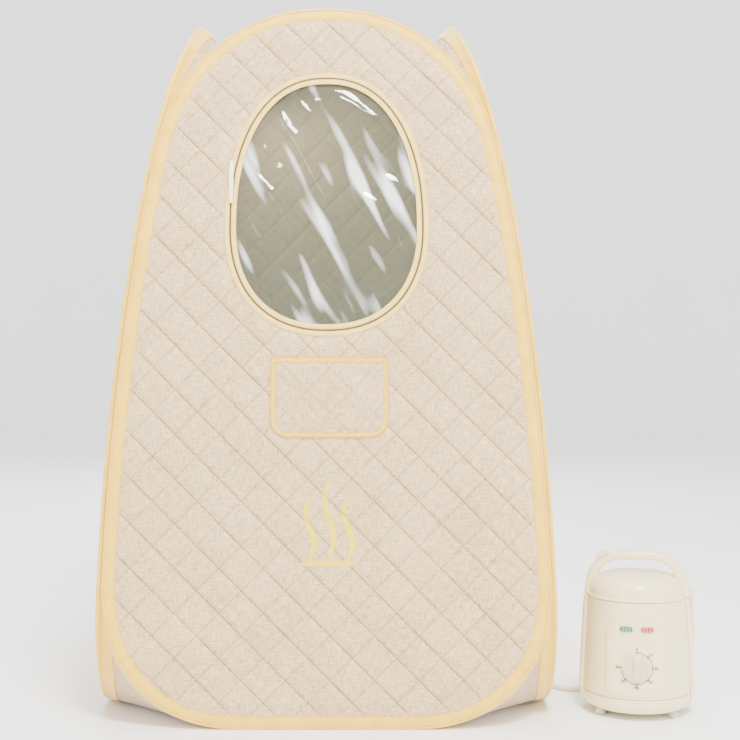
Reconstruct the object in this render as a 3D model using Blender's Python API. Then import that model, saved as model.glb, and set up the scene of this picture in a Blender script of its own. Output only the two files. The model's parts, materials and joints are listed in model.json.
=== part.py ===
"""Portable steam sauna: a pop-up quilted tent with a steam generator joined by a hose.

Units are metres, +Z is up and -Y is the front.  The origin is on the floor under the tent's centre.
The tent is four equal egg-shaped fabric panels, each held open by a sprung hoop in a folded sleeve.
"""
import math

import bmesh
import bpy
from mathutils import Euler, Vector

GAP = 0.0003                 # clearance between pieces that touch
LAY = 0.0006                 # clearance of a tape or patch that lies on a panel's facets

# ---- tent -------------------------------------------------------------------------------------
TENT_HALF_BASE = 0.438       # from the tent's axis to a panel, at the floor
TENT_HEIGHT = 1.380
LEAN = 0.078                 # how far a panel leans in at a height of one metre
TOP_LEAN = 0.002             # the extra lean that bends its top inward, at a height of one metre
FLAT_HALF = 0.163            # half of the straight stretch of a hoop that lies on the floor
CORNER_TOP = 0.272           # height where the hoop's bottom corner becomes its side
CORNER_POWER = 2.2
ARCH_START = 1.060           # height where neighbouring hoops part and the top arch begins
ARCH_RISE_POWER = 2.9
ARCH_ACROSS_POWER = 2.3
SLEEVE_WIDTH = 0.026
SLEEVE_DEPTH = 0.009
SLEEVE_WALL = 0.0017
HOOP_WIRE = 0.005            # diameter of the spring-steel hoop
PANEL_THICK = 0.005
PANEL_INSET = 0.0075         # from a sleeve's outer edge to the panel's edge inside its fold
SHEET = 0.002                # thickness of the roof and the floor cloth
ROOF_DIP = 0.070             # how far the roof cloth hangs between the tops of two hoops
ROOF_CENTRE_Z = 1.300

# ---- zipped window and door ---------------------------------------------------------------------
# Each is an egg outline: half width, height above its widest level, height below it, that level.
WINDOW = {"half": 0.196, "up": 0.302, "down": 0.210, "level": 0.945, "power": 2.25}
DOOR = {"half": 0.262, "up": 0.600, "down": 0.480, "level": 0.620, "power": 2.6}
TAPE = 0.0099                # width of the fixed tape and of the flap's binding
ZIP = 0.003                  # width of the zip's teeth between them
TAPE_DEPTH = 0.0022
FILM_THICK = 0.0008
FILM_SET_BACK = 0.001        # from the panel's outer face to the film
SLIDER = Vector((0.008, 0.005, 0.040))
PULL = Vector((0.009, 0.0016, 0.050))
PULL_DROP = 0.012            # from the slider's middle to the pull's pivot
SLIDER_OUT = 0.0070          # from the middle of the teeth to the slider's middle
FLAP_HINGE_OUT = 0.001       # from a flap's edge out to the line it folds on
FLAP_HINGE_PROUD = 0.010     # how far that line stands in front of the panel
WINDOW_SLIDER_Z = 1.052
DOOR_SLIDER_Z = 0.760

# ---- pocket and emblem ----------------------------------------------------------------------------
POCKET_CENTRE = 0.005
POCKET_HALF = 0.111
POCKET_BOTTOM = 0.545
POCKET_TOP = 0.694
POCKET_CORNER = 0.032
POCKET_EDGE = 0.010
POCKET_SLIT = 0.0025
POCKET_CLOTH = 0.002
POCKET_BINDING = 0.0009
EMBLEM_CENTRE = (0.005, 0.392)
EMBLEM_HEIGHT = 0.150
EMBLEM_STROKE = 0.012
EMBLEM_PITCH = 0.036
EMBLEM_WAVE = 0.008
EMBLEM_SIDE_WISP = 0.78      # height of the outer wisps, over the middle one's
EMBLEM_BASE = (0.052, 0.016)  # half width and height of the bar under the wisps
EMBLEM_OVERLAP = 0.004       # how far the bar rises over the wisps' feet
EMBLEM_THICK = 0.0006

# ---- steam generator ------------------------------------------------------------------------------
GENERATOR = Vector((0.609, -0.290, 0.0))
GENERATOR_TURN = math.radians(-11.0)
FOOT_HEIGHT = 0.012
FOOT_RADIUS = 0.0105
FOOT_X = 0.069
FOOT_Y = 0.046
BASE_SEAM = 0.043
LID_SEAM = 0.226
BASE_RADIUS = 0.1040
SEAM_RADIUS = 0.0945
BODY_BULGE = 0.001
WALL = 0.0025
BASE_ROUND = 0.020
LID_TOP = 0.268
LID_TOP_RADIUS = 0.058
LID_SHOULDER = [             # radius of the lid's side, and how far up the lid that is, from 0 to 1
    (0.0928, 0.014), (0.0918, 0.36), (0.0890, 0.53), (0.0835, 0.73), (0.0720, 0.90)]
GASKET = {"inner": 0.0820, "outer": 0.0885, "drop": 0.0100, "rise": 0.0002}
HANDLE_LEG = [               # a leg's centre line, its height over the lid's seam and its thickness
    (0.0976, 0.0012, 0.0080), (0.0968, 0.0120, 0.0076), (0.0950, 0.0230, 0.0086), (0.0910, 0.0330, 0.0105)]
HANDLE_TOP = 0.3105
HANDLE_THICK = 0.0165
HANDLE_DEPTH = 0.026
BUTTON_BEND = math.radians(54)   # where the release button sits on the handle's left shoulder
BEZEL = Vector((0.0300, 0.0180, 0.0045))
BUTTON = Vector((0.0170, 0.0130, 0.0050))
BUTTON_CLEAR = 0.0004        # round the button in its bezel
BUTTON_FLOOR = 0.0013        # thickness of the bezel under the button
BUTTON_TRAVEL = 0.0020
PLATE_HALF = 0.0595
PLATE_BOTTOM = 0.049
PLATE_SHOULDER = 0.184
PLATE_TOP = 0.2075
PLATE_CORNER = 0.018
PLATE_THICK = 0.003
LAMP_Z = 0.177
LAMP_X = 0.0197
LAMP_SIZE = Vector((0.0250, 0.0030, 0.0100))
DIAL_Z = 0.104
DIAL_RADIUS = 0.026
DIAL_DEPTH = 0.012           # to the top of its grip
DISC_DEPTH = 0.006
HINGE_X = 0.1065
HINGE_PIN = 0.0015
HINGE_BARREL = 0.0040
HINGE_BORE = 0.0018
KNUCKLE_HALF = 0.0060        # half length of the lid's knuckle
BARREL_END = 0.0125          # outer end of the body's two knuckles
STRAP_DROP = 0.0056          # from the lid's seam down to the strap's top
STRAP_LENGTH = 0.0760
STRAP_OUT = 0.0080           # from the body to the strap
STRAP_THICK = 0.0042
STRAP_TIP = 0.0012           # half width of the strap's lower end
LUG = Vector((0.0060, 0.0058, 0.0050))    # joins each of the body's knuckles to the strap
LUG_DROP = 0.0045
KNUCKLE_BLOCK = Vector((0.0084, 2 * KNUCKLE_HALF, 0.0145))   # joins the lid's knuckle to the lid
KNUCKLE_BLOCK_CENTRE = (0.0001, 0, 0.0098)
SHAFT_RADIUS = 0.0030
SHAFT_HOLE = 0.0042
TIMER_SIZE = Vector((0.0380, 0.0200, 0.0420))
TIMER_Y = -0.0862
SHAFT_END = 0.001            # from the timer's face to the shaft's inner end
OUTLET_Z = 0.185
OUTLET_REACH = 0.128
OUTLET_FLANGE = 0.014        # radius
OUTLET_SPOUT = 0.0075
OUTLET_FLANGE_THICK = 0.004
OUTLET_FILLET = 0.002
OUTLET_TAPER = (0.001, 0.006)   # how far the spout's tip narrows, and over what length
INLET_Z = 0.078
INLET_SIZE = Vector((0.034, 0.014, 0.026))
INLET_WALL = 0.004
SIDE_FRAME_SPREAD = 10.5     # half angle of a side rib round the casing, in degrees
ROUND = 30                   # sides of the generator's round pieces

# ---- hose -----------------------------------------------------------------------------------------
HOSE_DIAMETER = 0.010
PORT_Y = 0.120
PORT_Z = 0.075
PORT_BORE = 0.006            # radius
PORT_BARREL = 0.0155
PORT_FLANGE = 0.024
PORT_HOLE = 0.0165
NUT_RADIUS = 0.022
ELBOW_X = 0.467
ELBOW_RADIUS = 0.0085
ELBOW_BEND = 0.012
# The hose's route: out of the generator's back, down to the floor, round a loose bend behind the
# generator, across to the tent and up to the elbow on its right side.
HOSE_ROUTE = [
    (0.6335, -0.1640, 0.1850), (0.6391, -0.1350, 0.1850), (0.6462, -0.0985, 0.1690),
    (0.6530, -0.0720, 0.1280), (0.6600, -0.0500, 0.0780), (0.6720, -0.0280, 0.0350),
    (0.6890, -0.0010, 0.0120), (0.7080, 0.0300, 0.0056), (0.7150, 0.0660, 0.0056),
    (0.7020, 0.1010, 0.0056), (0.6710, 0.1210, 0.0056), (0.6340, 0.1150, 0.0056),
    (0.6080, 0.0880, 0.0056), (0.5960, 0.0500, 0.0056), (0.5900, 0.0090, 0.0056),
    (0.5850, -0.0320, 0.0056), (0.5785, -0.0670, 0.0056), (0.5668, -0.0987, 0.0056),
    (0.5500, -0.1270, 0.0056), (0.5325, -0.1450, 0.0056), (0.5095, -0.1512, 0.0056),
    (0.4865, -0.1450, 0.0056), (0.4700, -0.1270, 0.0056), (0.4638, -0.1030, 0.0056),
    (0.4630, -0.0760, 0.0056), (0.4630, -0.0460, 0.0060), (0.4640, -0.0150, 0.0120),
    (0.4655, 0.0120, 0.0300), (0.4665, 0.0360, 0.0545), (0.4670, 0.0560, 0.0700),
    (0.4670, 0.0745, 0.0750), (0.4670, 0.0935, 0.0750),
]
HOSE_STEP = 0.024            # spacing of the points along the solid hose

MATERIALS = {                # colour, roughness, metallic
    "quilt": ((0.74, 0.62, 0.50), 0.90, 0.0),
    "binding": ((0.86, 0.68, 0.38), 0.60, 0.0),
    "spring_steel": ((0.55, 0.55, 0.56), 0.35, 1.0),
    "lining": ((0.70, 0.61, 0.50), 0.80, 0.0),
    "film": ((0.66, 0.68, 0.62), 0.08, 0.0),
    "zip": ((0.45, 0.36, 0.20), 0.50, 0.0),
    "slider": ((0.90, 0.86, 0.76), 0.35, 0.0),
    "emblem": ((0.86, 0.72, 0.30), 0.55, 0.0),
    "ivory": ((0.91, 0.84, 0.68), 0.30, 0.0),
    "rubber": ((0.75, 0.72, 0.65), 0.70, 0.0),
    "green_lamp": ((0.02, 0.38, 0.14), 0.20, 0.0),
    "red_lamp": ((0.70, 0.05, 0.06), 0.20, 0.0),
    "steel": ((0.70, 0.70, 0.70), 0.25, 1.0),
    "heater": ((0.50, 0.50, 0.51), 0.45, 1.0),
    "black": ((0.03, 0.03, 0.03), 0.40, 0.0),
    "hose": ((0.86, 0.82, 0.73), 0.45, 0.0),
}


# ---- building blocks -------------------------------------------------------------------------------
def material(name):
    """The named Principled material, made the first time it is asked for."""
    found = bpy.data.materials.get(name)
    if found:
        return found
    colour, roughness, metallic = MATERIALS[name]
    made = bpy.data.materials.new(name)
    made.use_nodes = True
    shader = made.node_tree.nodes["Principled BSDF"]
    shader.inputs["Base Color"].default_value = (*colour, 1.0)
    shader.inputs["Roughness"].default_value = roughness
    shader.inputs["Metallic"].default_value = metallic
    return made


def add_object(name, mesh, material_name, parent=None, location=None):
    """Link a mesh as a named object; with a location its points stay put and its origin moves there."""
    obj = bpy.data.objects.new(name, mesh)
    bpy.context.scene.collection.objects.link(obj)
    mesh.materials.append(material(material_name))
    if location is not None:
        shifted(mesh, -Vector(location))
        obj.location = location
    if parent is not None:
        obj.parent = parent
    mesh.shade_smooth()
    mesh.set_sharp_from_angle(angle=math.radians(35))
    return obj


def shifted(mesh, offset):
    """Move a mesh's points by an offset and hand the mesh back."""
    for vertex in mesh.vertices:
        vertex.co += Vector(offset)
    return mesh


def mesh_of(name, vertices, faces):
    """A mesh with its faces turned outward."""
    mesh = bpy.data.meshes.new(name)
    mesh.from_pydata([tuple(v) for v in vertices], [], faces)
    work = bmesh.new()
    work.from_mesh(mesh)
    bmesh.ops.recalc_face_normals(work, faces=work.faces)
    work.to_mesh(mesh)
    work.free()
    return mesh


def loop_mesh(name, sections):
    """A closed ring: each section is a closed polygon, and the last joins the first."""
    count, size = len(sections), len(sections[0])
    vertices = [v for section in sections for v in section]
    faces = []
    for i in range(count):
        a, b = i * size, (i + 1) % count * size
        for j in range(size):
            k = (j + 1) % size
            faces.append((a + j, a + k, b + k, b + j))
    return mesh_of(name, vertices, faces)


def swept_mesh(name, sections):
    """An open sweep: like loop_mesh, with its first and last sections closed by flat caps."""
    count, size = len(sections), len(sections[0])
    vertices = [v for section in sections for v in section]
    faces = [tuple(range(size)), tuple(range((count - 1) * size, count * size))]
    for i in range(count - 1):
        a, b = i * size, (i + 1) * size
        for j in range(size):
            k = (j + 1) % size
            faces.append((a + j, a + k, b + k, b + j))
    return mesh_of(name, vertices, faces)


def plate_mesh(name, front, back):
    """A closed plate from two equal grids of points, its front and its back."""
    rows, columns = len(front), len(front[0])
    vertices = [v for row in front for v in row] + [v for row in back for v in row]
    offset = rows * columns
    faces = []
    for i in range(rows - 1):
        for j in range(columns - 1):
            a = i * columns + j
            quad = (a, a + 1, a + 1 + columns, a + columns)
            faces.append(quad)
            faces.append(tuple(offset + v for v in reversed(quad)))
    rim = list(range(columns))
    rim += [i * columns + columns - 1 for i in range(1, rows)]
    rim += [(rows - 1) * columns + j for j in range(columns - 2, -1, -1)]
    rim += [i * columns for i in range(rows - 2, 0, -1)]
    for a, b in zip(rim, rim[1:] + rim[:1]):
        faces.append((a, b, offset + b, offset + a))
    return mesh_of(name, vertices, faces)


def turned_mesh(name, profile, sides=ROUND, axis="Z"):
    """Turn a closed profile of (radius, height) about an axis; radius 0 becomes a pole."""
    def place(radius, height, angle):
        across, along = radius * math.cos(angle), radius * math.sin(angle)
        if axis == "Z":
            return (across, along, height)
        if axis == "Y":
            return (across, height, along)
        return (height, across, along)

    vertices, rings = [], []
    for radius, height in profile:
        start = len(vertices)
        if radius == 0:
            vertices.append(place(0, height, 0))
            rings.append([start] * sides)
            continue
        vertices += [place(radius, height, math.tau * k / sides) for k in range(sides)]
        rings.append(list(range(start, start + sides)))
    faces = []
    for lower, upper in zip(rings, rings[1:] + rings[:1]):
        for k in range(sides):
            m = (k + 1) % sides
            corner = [lower[k], lower[m], upper[m], upper[k]]
            unique = list(dict.fromkeys(corner))
            if len(unique) > 2:
                faces.append(tuple(unique))
    return mesh_of(name, vertices, faces)


def rod_profile(radius, low, high):
    """Profile of a plain rod between two heights."""
    return [(0, low), (radius, low), (radius, high), (0, high)]


def tube_profile(inner, outer, low, high):
    """Profile of a plain tube between two heights."""
    return [(inner, low), (outer, low), (outer, high), (inner, high)]


def box_mesh(name, centre, size, bevel=0.0):
    """A box, with bevelled edges where a width is given."""
    work = bmesh.new()
    bmesh.ops.create_cube(work, size=1.0)
    for vertex in work.verts:
        vertex.co = Vector(v * s for v, s in zip(vertex.co, size)) + Vector(centre)
    if bevel:
        bmesh.ops.bevel(work, geom=list(work.edges), offset=bevel, segments=1, affect="EDGES")
    mesh = bpy.data.meshes.new(name)
    work.to_mesh(mesh)
    work.free()
    return mesh


def merge_meshes(name, meshes):
    """One mesh holding several separate bodies."""
    work = bmesh.new()
    for mesh in meshes:
        work.from_mesh(mesh)
    merged = bpy.data.meshes.new(name)
    work.to_mesh(merged)
    work.free()
    return merged


def boolean(obj, mesh, operation, parent=None, location=(0, 0, 0)):
    """Take a solid from an object (DIFFERENCE) or join one on (UNION); the tool stays as a guide."""
    tool = bpy.data.objects.new(operation.lower() + "_" + obj.name, mesh)
    bpy.context.scene.collection.objects.link(tool)
    tool.hide_render = True
    tool.display_type = "WIRE"
    tool.parent = parent
    tool.location = location
    modifier = obj.modifiers.new(operation.lower(), "BOOLEAN")
    modifier.operation = operation
    modifier.solver = "EXACT"
    modifier.object = tool


def empty(name, location, turn=0.0, parent=None):
    """An empty that carries other objects."""
    made = bpy.data.objects.new(name, None)
    bpy.context.scene.collection.objects.link(made)
    made.location = location
    made.rotation_euler = Euler((0, 0, turn))
    made.parent = parent
    return made


# ---- the tent's surfaces -----------------------------------------------------------------------------
def reach(z):
    """Distance of a panel's outer surface from the tent's axis at a height."""
    return TENT_HALF_BASE - LEAN * z ** 2 - TOP_LEAN * max(z, 0.0) ** 8


def on_panel(side, u, z, depth):
    """A point on panel 0 front, 1 right, 2 back or 3 left: u across it, depth in from its face."""
    x, y = u, -reach(z) + depth
    for _ in range(side):
        x, y = -y, x
    return Vector((x, y, z))


def hoop_half():
    """Right half of a hoop's outer edge, from the floor to the top, as (u, z)."""
    def edge(z):
        return reach(z) - SLEEVE_DEPTH - GAP

    corner = []
    for k in range(6):
        angle = math.radians(90 - 15 * k)
        across = max(math.cos(angle), 0.0) ** (2 / CORNER_POWER)
        down = math.sin(angle) ** (2 / CORNER_POWER)
        corner.append((FLAT_HALF + (edge(CORNER_TOP) - FLAT_HALF) * across, CORNER_TOP * (1 - down)))
    levels = [CORNER_TOP + (ARCH_START - CORNER_TOP) * k / 6 for k in range(7)]
    sides = [(edge(z), z) for z in levels]
    arch = []
    for k in range(1, 9):
        angle = math.radians(90 * k / 9)
        z = ARCH_START + (TENT_HEIGHT - ARCH_START) * math.sin(angle) ** (2 / ARCH_RISE_POWER)
        arch.append((edge(z) * math.cos(angle) ** (2 / ARCH_ACROSS_POWER), z))
    return corner + sides + arch + [(0.0, TENT_HEIGHT)]


def inset_half(half, distance):
    """The same half outline moved inward by a distance, with its ends kept on their lines."""
    inset = []
    for i, (u, z) in enumerate(half):
        before = half[i - 1] if i else (0.0, half[0][1])
        after = half[i + 1] if i < len(half) - 1 else (-half[i - 1][0], half[i - 1][1])
        along = Vector((after[0] - before[0], after[1] - before[1])).normalized()
        inward = Vector((-along.y, along.x))
        inset.append((max(u + inward.x * distance, 0.0), z + inward.y * distance))
    return inset


def full_loop(half):
    """Both halves of an outline, once round; points on the centre line aren't repeated."""
    left = [(-u, z) for u, z in reversed(half) if u > 0]
    return half + left


def sheet_mesh(name, side, half, near, far, shift=0.0):
    """A sheet that fills an outline on a panel, between two depths, row by row up the panel."""
    vertices, rows = [], []
    for u, z in half:
        row = []
        for depth in (near, far):
            for across in ([0.0] if u == 0 else [-u, u]):
                row.append(len(vertices))
                vertices.append(on_panel(side, across + shift, z, depth))
        rows.append(row if len(row) == 4 else [row[0], row[0], row[1], row[1]])
    faces = []

    def add(*corners):
        unique = tuple(dict.fromkeys(corners))
        if len(unique) > 2:
            faces.append(unique)

    for low, high in zip(rows, rows[1:]):
        add(low[0], low[1], high[1], high[0])
        add(low[2], high[2], high[3], low[3])
        add(low[1], low[3], high[3], high[1])
        add(low[0], high[0], high[2], low[2])
    for end in (rows[0], rows[-1]):
        add(end[0], end[1], end[3], end[2])
    return mesh_of(name, vertices, faces)


def band_mesh(name, side, outer, inner, near, far, shift=0.0):
    """A flat band on a panel between two closed outlines with equally many points."""
    sections = []
    for (u0, z0), (u1, z1) in zip(outer, inner):
        sections.append([on_panel(side, u0 + shift, z0, near), on_panel(side, u1 + shift, z1, near),
                         on_panel(side, u1 + shift, z1, far), on_panel(side, u0 + shift, z0, far)])
    return loop_mesh(name, sections)


def egg_half(egg, inset, count=18):
    """Right half of an egg outline, from its lowest to its highest point, drawn in by an inset."""
    points = []
    for k in range(count + 1):
        angle = math.radians(-90 + 180 * k / count)
        height = (egg["up"] if angle > 0 else egg["down"]) - inset
        across = max(math.cos(angle), 0.0) ** (2 / egg["power"])
        rise = math.copysign(abs(math.sin(angle)) ** (2 / egg["power"]), angle)
        ends = k in (0, count)
        points.append((0.0 if ends else (egg["half"] - inset) * across, egg["level"] + height * rise))
    return points


# ---- tent pieces --------------------------------------------------------------------------------------
SIDES = ["front", "right", "back", "left"]
PANEL_NEAR = (SLEEVE_DEPTH - PANEL_THICK) / 2
PANEL_FAR = PANEL_NEAR + PANEL_THICK
TEETH_PROUD = 0.0006         # how far a zip's teeth stand above its tapes
CUT_REACH = 0.03             # half length of a tool that cuts through a panel
PANEL_UNDER_TAPE = 0.001     # how far a panel runs under the zip's teeth


def build_hoops():
    """A folded sleeve round each panel's edge, with its spring-steel hoop in the fold."""
    half = hoop_half()
    slot = (SLEEVE_DEPTH - 2 * SLEEVE_WALL) / 2
    middle = SLEEVE_DEPTH / 2
    section = [(SLEEVE_WIDTH, 0), (0, 0), (0, SLEEVE_DEPTH), (SLEEVE_WIDTH, SLEEVE_DEPTH),
               (SLEEVE_WIDTH, middle + slot), (SLEEVE_WALL, middle + slot),
               (SLEEVE_WALL, middle - slot), (SLEEVE_WIDTH, middle - slot)]
    insets = {a: full_loop(inset_half(half, a)) for a, _ in section}
    wire_inset = SLEEVE_WALL + GAP + HOOP_WIRE / 2
    for side, name in enumerate(SIDES):
        rings = []
        for i in range(len(insets[0])):
            rings.append([on_panel(side, *insets[a][i], depth) for a, depth in section])
        add_object(name + "_hoop_sleeve", loop_mesh(name, rings), "binding")
        wire = []
        for i in range(len(insets[0])):
            ring = []
            for k in range(5):
                angle = math.tau * k / 5
                a = wire_inset + HOOP_WIRE / 2 * math.cos(angle)
                wire_loop = insets.setdefault(a, full_loop(inset_half(half, a)))
                ring.append(on_panel(side, *wire_loop[i], middle + HOOP_WIRE / 2 * math.sin(angle)))
            wire.append(ring)
        add_object(name + "_spring_hoop", loop_mesh(name, wire), "spring_steel")


def build_panels():
    """Four quilted panels; the front has the window's hole, the left the door's, the right a port's."""
    half = inset_half(hoop_half(), PANEL_INSET)
    panels = []
    for side, name in enumerate(SIDES):
        mesh = sheet_mesh(name, side, half, PANEL_NEAR, PANEL_FAR)
        panels.append(add_object(name + "_panel", mesh, "quilt"))
    for side, egg in ((0, WINDOW), (3, DOOR)):
        hole = egg_half(egg, TAPE + ZIP - PANEL_UNDER_TAPE)
        boolean(panels[side], sheet_mesh("hole", side, hole, -CUT_REACH, CUT_REACH), "DIFFERENCE")
    port = turned_mesh("hole", rod_profile(PORT_HOLE, -CUT_REACH, CUT_REACH), 20, "X")
    boolean(panels[1], shifted(port, (reach(PORT_Z), PORT_Y, PORT_Z)), "DIFFERENCE")


def corner_grid(arc, depth, dip, columns=5):
    """Points of the cloth between two neighbouring hoops at each corner, as rows along the arc."""
    grids = []
    for side in range(4):
        rows = []
        for i, (u, z) in enumerate(arc):
            start, end = on_panel(side, u, z, depth), on_panel((side + 1) % 4, -u, z, depth)
            row = []
            for k in range(columns + 1):
                t = k / columns
                point = start.lerp(end, t)
                point.z -= dip * i / (len(arc) - 1) * (1 - abs(2 * t - 1) ** 4)
                row.append(point)
            rows.append(row)
        grids.append(rows)
    return grids


def cloth_mesh(name, grids, centre):
    """The cloth over four corners and the middle between them, as one open surface facing out."""
    work = bmesh.new()
    keys = {}

    def vertex(point):
        key = tuple(round(c, 5) for c in point)
        if key not in keys:
            keys[key] = work.verts.new(point)
        return keys[key]

    rim = []
    for rows in grids:
        for low, high in zip(rows, rows[1:]):
            for k in range(len(low) - 1):
                corners = [vertex(p) for p in (low[k], low[k + 1], high[k + 1], high[k])]
                work.faces.new(list(dict.fromkeys(corners)))
        rim += rows[-1]
    ring = list(dict.fromkeys(vertex(p) for p in rim))
    if centre is None:
        work.faces.new(ring)
    else:
        middle = Vector((0, 0, centre))
        inner = []
        for outer in ring:
            point = outer.co.lerp(middle, 0.5)
            point.z = outer.co.z * 0.35 + centre * 0.65
            inner.append(work.verts.new(point))
        pole = work.verts.new(middle)
        for k in range(len(ring)):
            m = (k + 1) % len(ring)
            work.faces.new((ring[k], ring[m], inner[m], inner[k]))
            work.faces.new((inner[k], inner[m], pole))
    bmesh.ops.recalc_face_normals(work, faces=work.faces)
    work.faces.ensure_lookup_table()
    outward = sum(f.normal.dot(f.calc_center_median() - Vector((0, 0, 0.7))) for f in work.faces)
    if outward < 0:
        bmesh.ops.reverse_faces(work, faces=work.faces)
    mesh = bpy.data.meshes.new(name)
    work.to_mesh(mesh)
    work.free()
    return mesh


def build_cloths():
    """The roof cloth between the four arches, and the floor cloth that rises into the corners."""
    half = hoop_half()
    behind = SLEEVE_DEPTH + GAP
    start = len(half) - 10
    roof_arc = inset_half(half, 0.003)[start:]
    roof = cloth_mesh("roof", corner_grid(roof_arc, behind + SHEET, ROOF_DIP), ROOF_CENTRE_Z)
    floor_arc = list(reversed(half[:7]))
    floor = cloth_mesh("floor", corner_grid(floor_arc, behind, 0.0, 4), None)
    for name, mesh in (("roof_cloth", roof), ("floor_cloth", floor)):
        obj = add_object(name, mesh, "lining")
        thicken = obj.modifiers.new("thickness", "SOLIDIFY")
        thicken.thickness = SHEET
        thicken.offset = -1.0


def build_flap(prefix, side, egg, filler, filler_material, near, far, slider_side, slider_z):
    """A zipped opening: a fixed tape and teeth round it, and a flap hinged at its left with a binding."""
    edges = [full_loop(egg_half(egg, inset)) for inset in
             (0.0, TAPE, TAPE + GAP, TAPE + ZIP - GAP, TAPE + ZIP, 2 * TAPE + ZIP)]
    level = PANEL_NEAR - LAY
    proud = level - TAPE_DEPTH
    crest = proud - TEETH_PROUD
    tape = band_mesh(prefix, side, edges[0], edges[1], proud, level)
    add_object(prefix + "_zip_tape", tape, "binding")
    teeth = band_mesh(prefix, side, edges[2], edges[3], crest, level)
    add_object(prefix + "_zip_teeth", teeth, "zip")
    flap_inset = TAPE + ZIP
    flap = egg_half(egg, flap_inset + 2 * GAP)
    hinge_u = FLAP_HINGE_OUT + egg["half"] - flap_inset
    hinge = on_panel(side, -hinge_u, egg["level"], -FLAP_HINGE_PROUD)
    binding = band_mesh(prefix, side, edges[4], edges[5], proud, level)
    add_object(prefix + "_flap_binding", binding, "binding", location=hinge)
    mesh = sheet_mesh(filler, side, flap, near, far)
    add_object(filler, mesh, filler_material, location=hinge)
    build_slider(prefix, side, egg, slider_side, slider_z, crest)


def build_slider(prefix, side, egg, which, z, crest):
    """The zip's slider on the fixed tape's side of the teeth, and its hanging pull."""
    rise = abs(z - egg["level"]) / (egg["up"] - TAPE)
    across = (1 - rise ** egg["power"]) ** (1 / egg["power"])
    u = which * ((egg["half"] - TAPE - ZIP / 2) * across + SLIDER_OUT)
    back = crest - GAP
    face = back - SLIDER.y
    slider, pull = [[], []], [[], []]
    for k in range(5):
        t = k / 4
        height = z + SLIDER.z * (t - 0.5)
        width = SLIDER.x * (0.5 if k in (0, 4) else 1.0) / 2
        low = z - PULL_DROP - PULL.z * t
        taper = PULL.x * (1.0 - 0.45 * t) / 2
        for row, depth in zip(slider, (face, back)):
            row.append([on_panel(side, u - width, height, depth), on_panel(side, u + width, height, depth)])
        for row, depth in zip(pull, (face - PULL.y - GAP, face - GAP)):
            row.append([on_panel(side, u - taper, low, depth), on_panel(side, u + taper, low, depth)])
    middle = on_panel(side, u, z, back)
    add_object(prefix + "_zip_slider", plate_mesh(prefix, *slider), "slider", location=middle)
    pivot = on_panel(side, u, z - PULL_DROP, face - GAP - PULL.y / 2)
    add_object(prefix + "_zip_pull", plate_mesh(prefix, *pull), "slider", location=pivot)


def build_pocket():
    """A flat patch pocket, open along its top, and the binding round its edge."""
    def half(inset, top):
        edge = POCKET_HALF - inset
        radius = POCKET_CORNER - inset / 2
        points = []
        for k in range(5):
            angle = math.radians(90 - 22.5 * k)
            points.append((edge - radius * (1 - math.cos(angle)),
                           POCKET_BOTTOM + inset + radius * (1 - math.sin(angle))))
        return points + [(edge, (POCKET_BOTTOM + POCKET_TOP) / 2), (edge, top)]

    face = PANEL_NEAR - LAY
    slit = face - POCKET_SLIT
    front = slit - POCKET_CLOTH
    pocket = add_object("pocket", sheet_mesh("pocket", 0, half(0.0, POCKET_TOP), front, face, POCKET_CENTRE),
                        "quilt")
    inside = half(POCKET_EDGE, POCKET_TOP + POCKET_EDGE)
    boolean(pocket, sheet_mesh("slit", 0, inside, slit, face + POCKET_EDGE, POCKET_CENTRE), "DIFFERENCE")
    outer = full_loop(half(0.0, POCKET_TOP))
    inner = full_loop(half(POCKET_EDGE, POCKET_TOP - POCKET_EDGE))
    near = front - GAP
    binding = band_mesh("pocket_binding", 0, outer, inner, near - POCKET_BINDING, near, POCKET_CENTRE)
    add_object("pocket_binding", binding, "binding")


def build_emblem():
    """Three rising wisps of steam on a short bar, printed below the pocket."""
    centre, level = EMBLEM_CENTRE
    bottom = level - EMBLEM_HEIGHT / 2
    back = PANEL_NEAR - LAY
    depths = (back - EMBLEM_THICK, back)

    def strip(rows):
        layers = [[], []]
        for u, width, z in rows:
            for layer, depth in zip(layers, depths):
                layer.append([on_panel(0, u - width, z, depth), on_panel(0, u + width, z, depth)])
        return plate_mesh("strip", *layers)

    wisps = []
    for place in (-1, 0, 1):
        tall = EMBLEM_HEIGHT * (1.0 if place == 0 else EMBLEM_SIDE_WISP)
        rows = []
        for k in range(13):
            t = k / 12
            swell = math.sin(math.pi * min(max(t, 0.05), 0.95))
            rows.append((centre + place * EMBLEM_PITCH + EMBLEM_WAVE * math.sin(math.tau * t),
                         EMBLEM_STROKE / 2 * (0.35 + 0.65 * swell), bottom + tall * t))
        wisps.append(strip(rows))
    half_width, height = EMBLEM_BASE
    top = bottom + EMBLEM_OVERLAP
    bar = strip([(centre, half_width, top - height), (centre, half_width, top)])
    emblem = add_object("steam_emblem", bar, "emblem")
    boolean(emblem, merge_meshes("wisps", wisps), "UNION")


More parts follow.
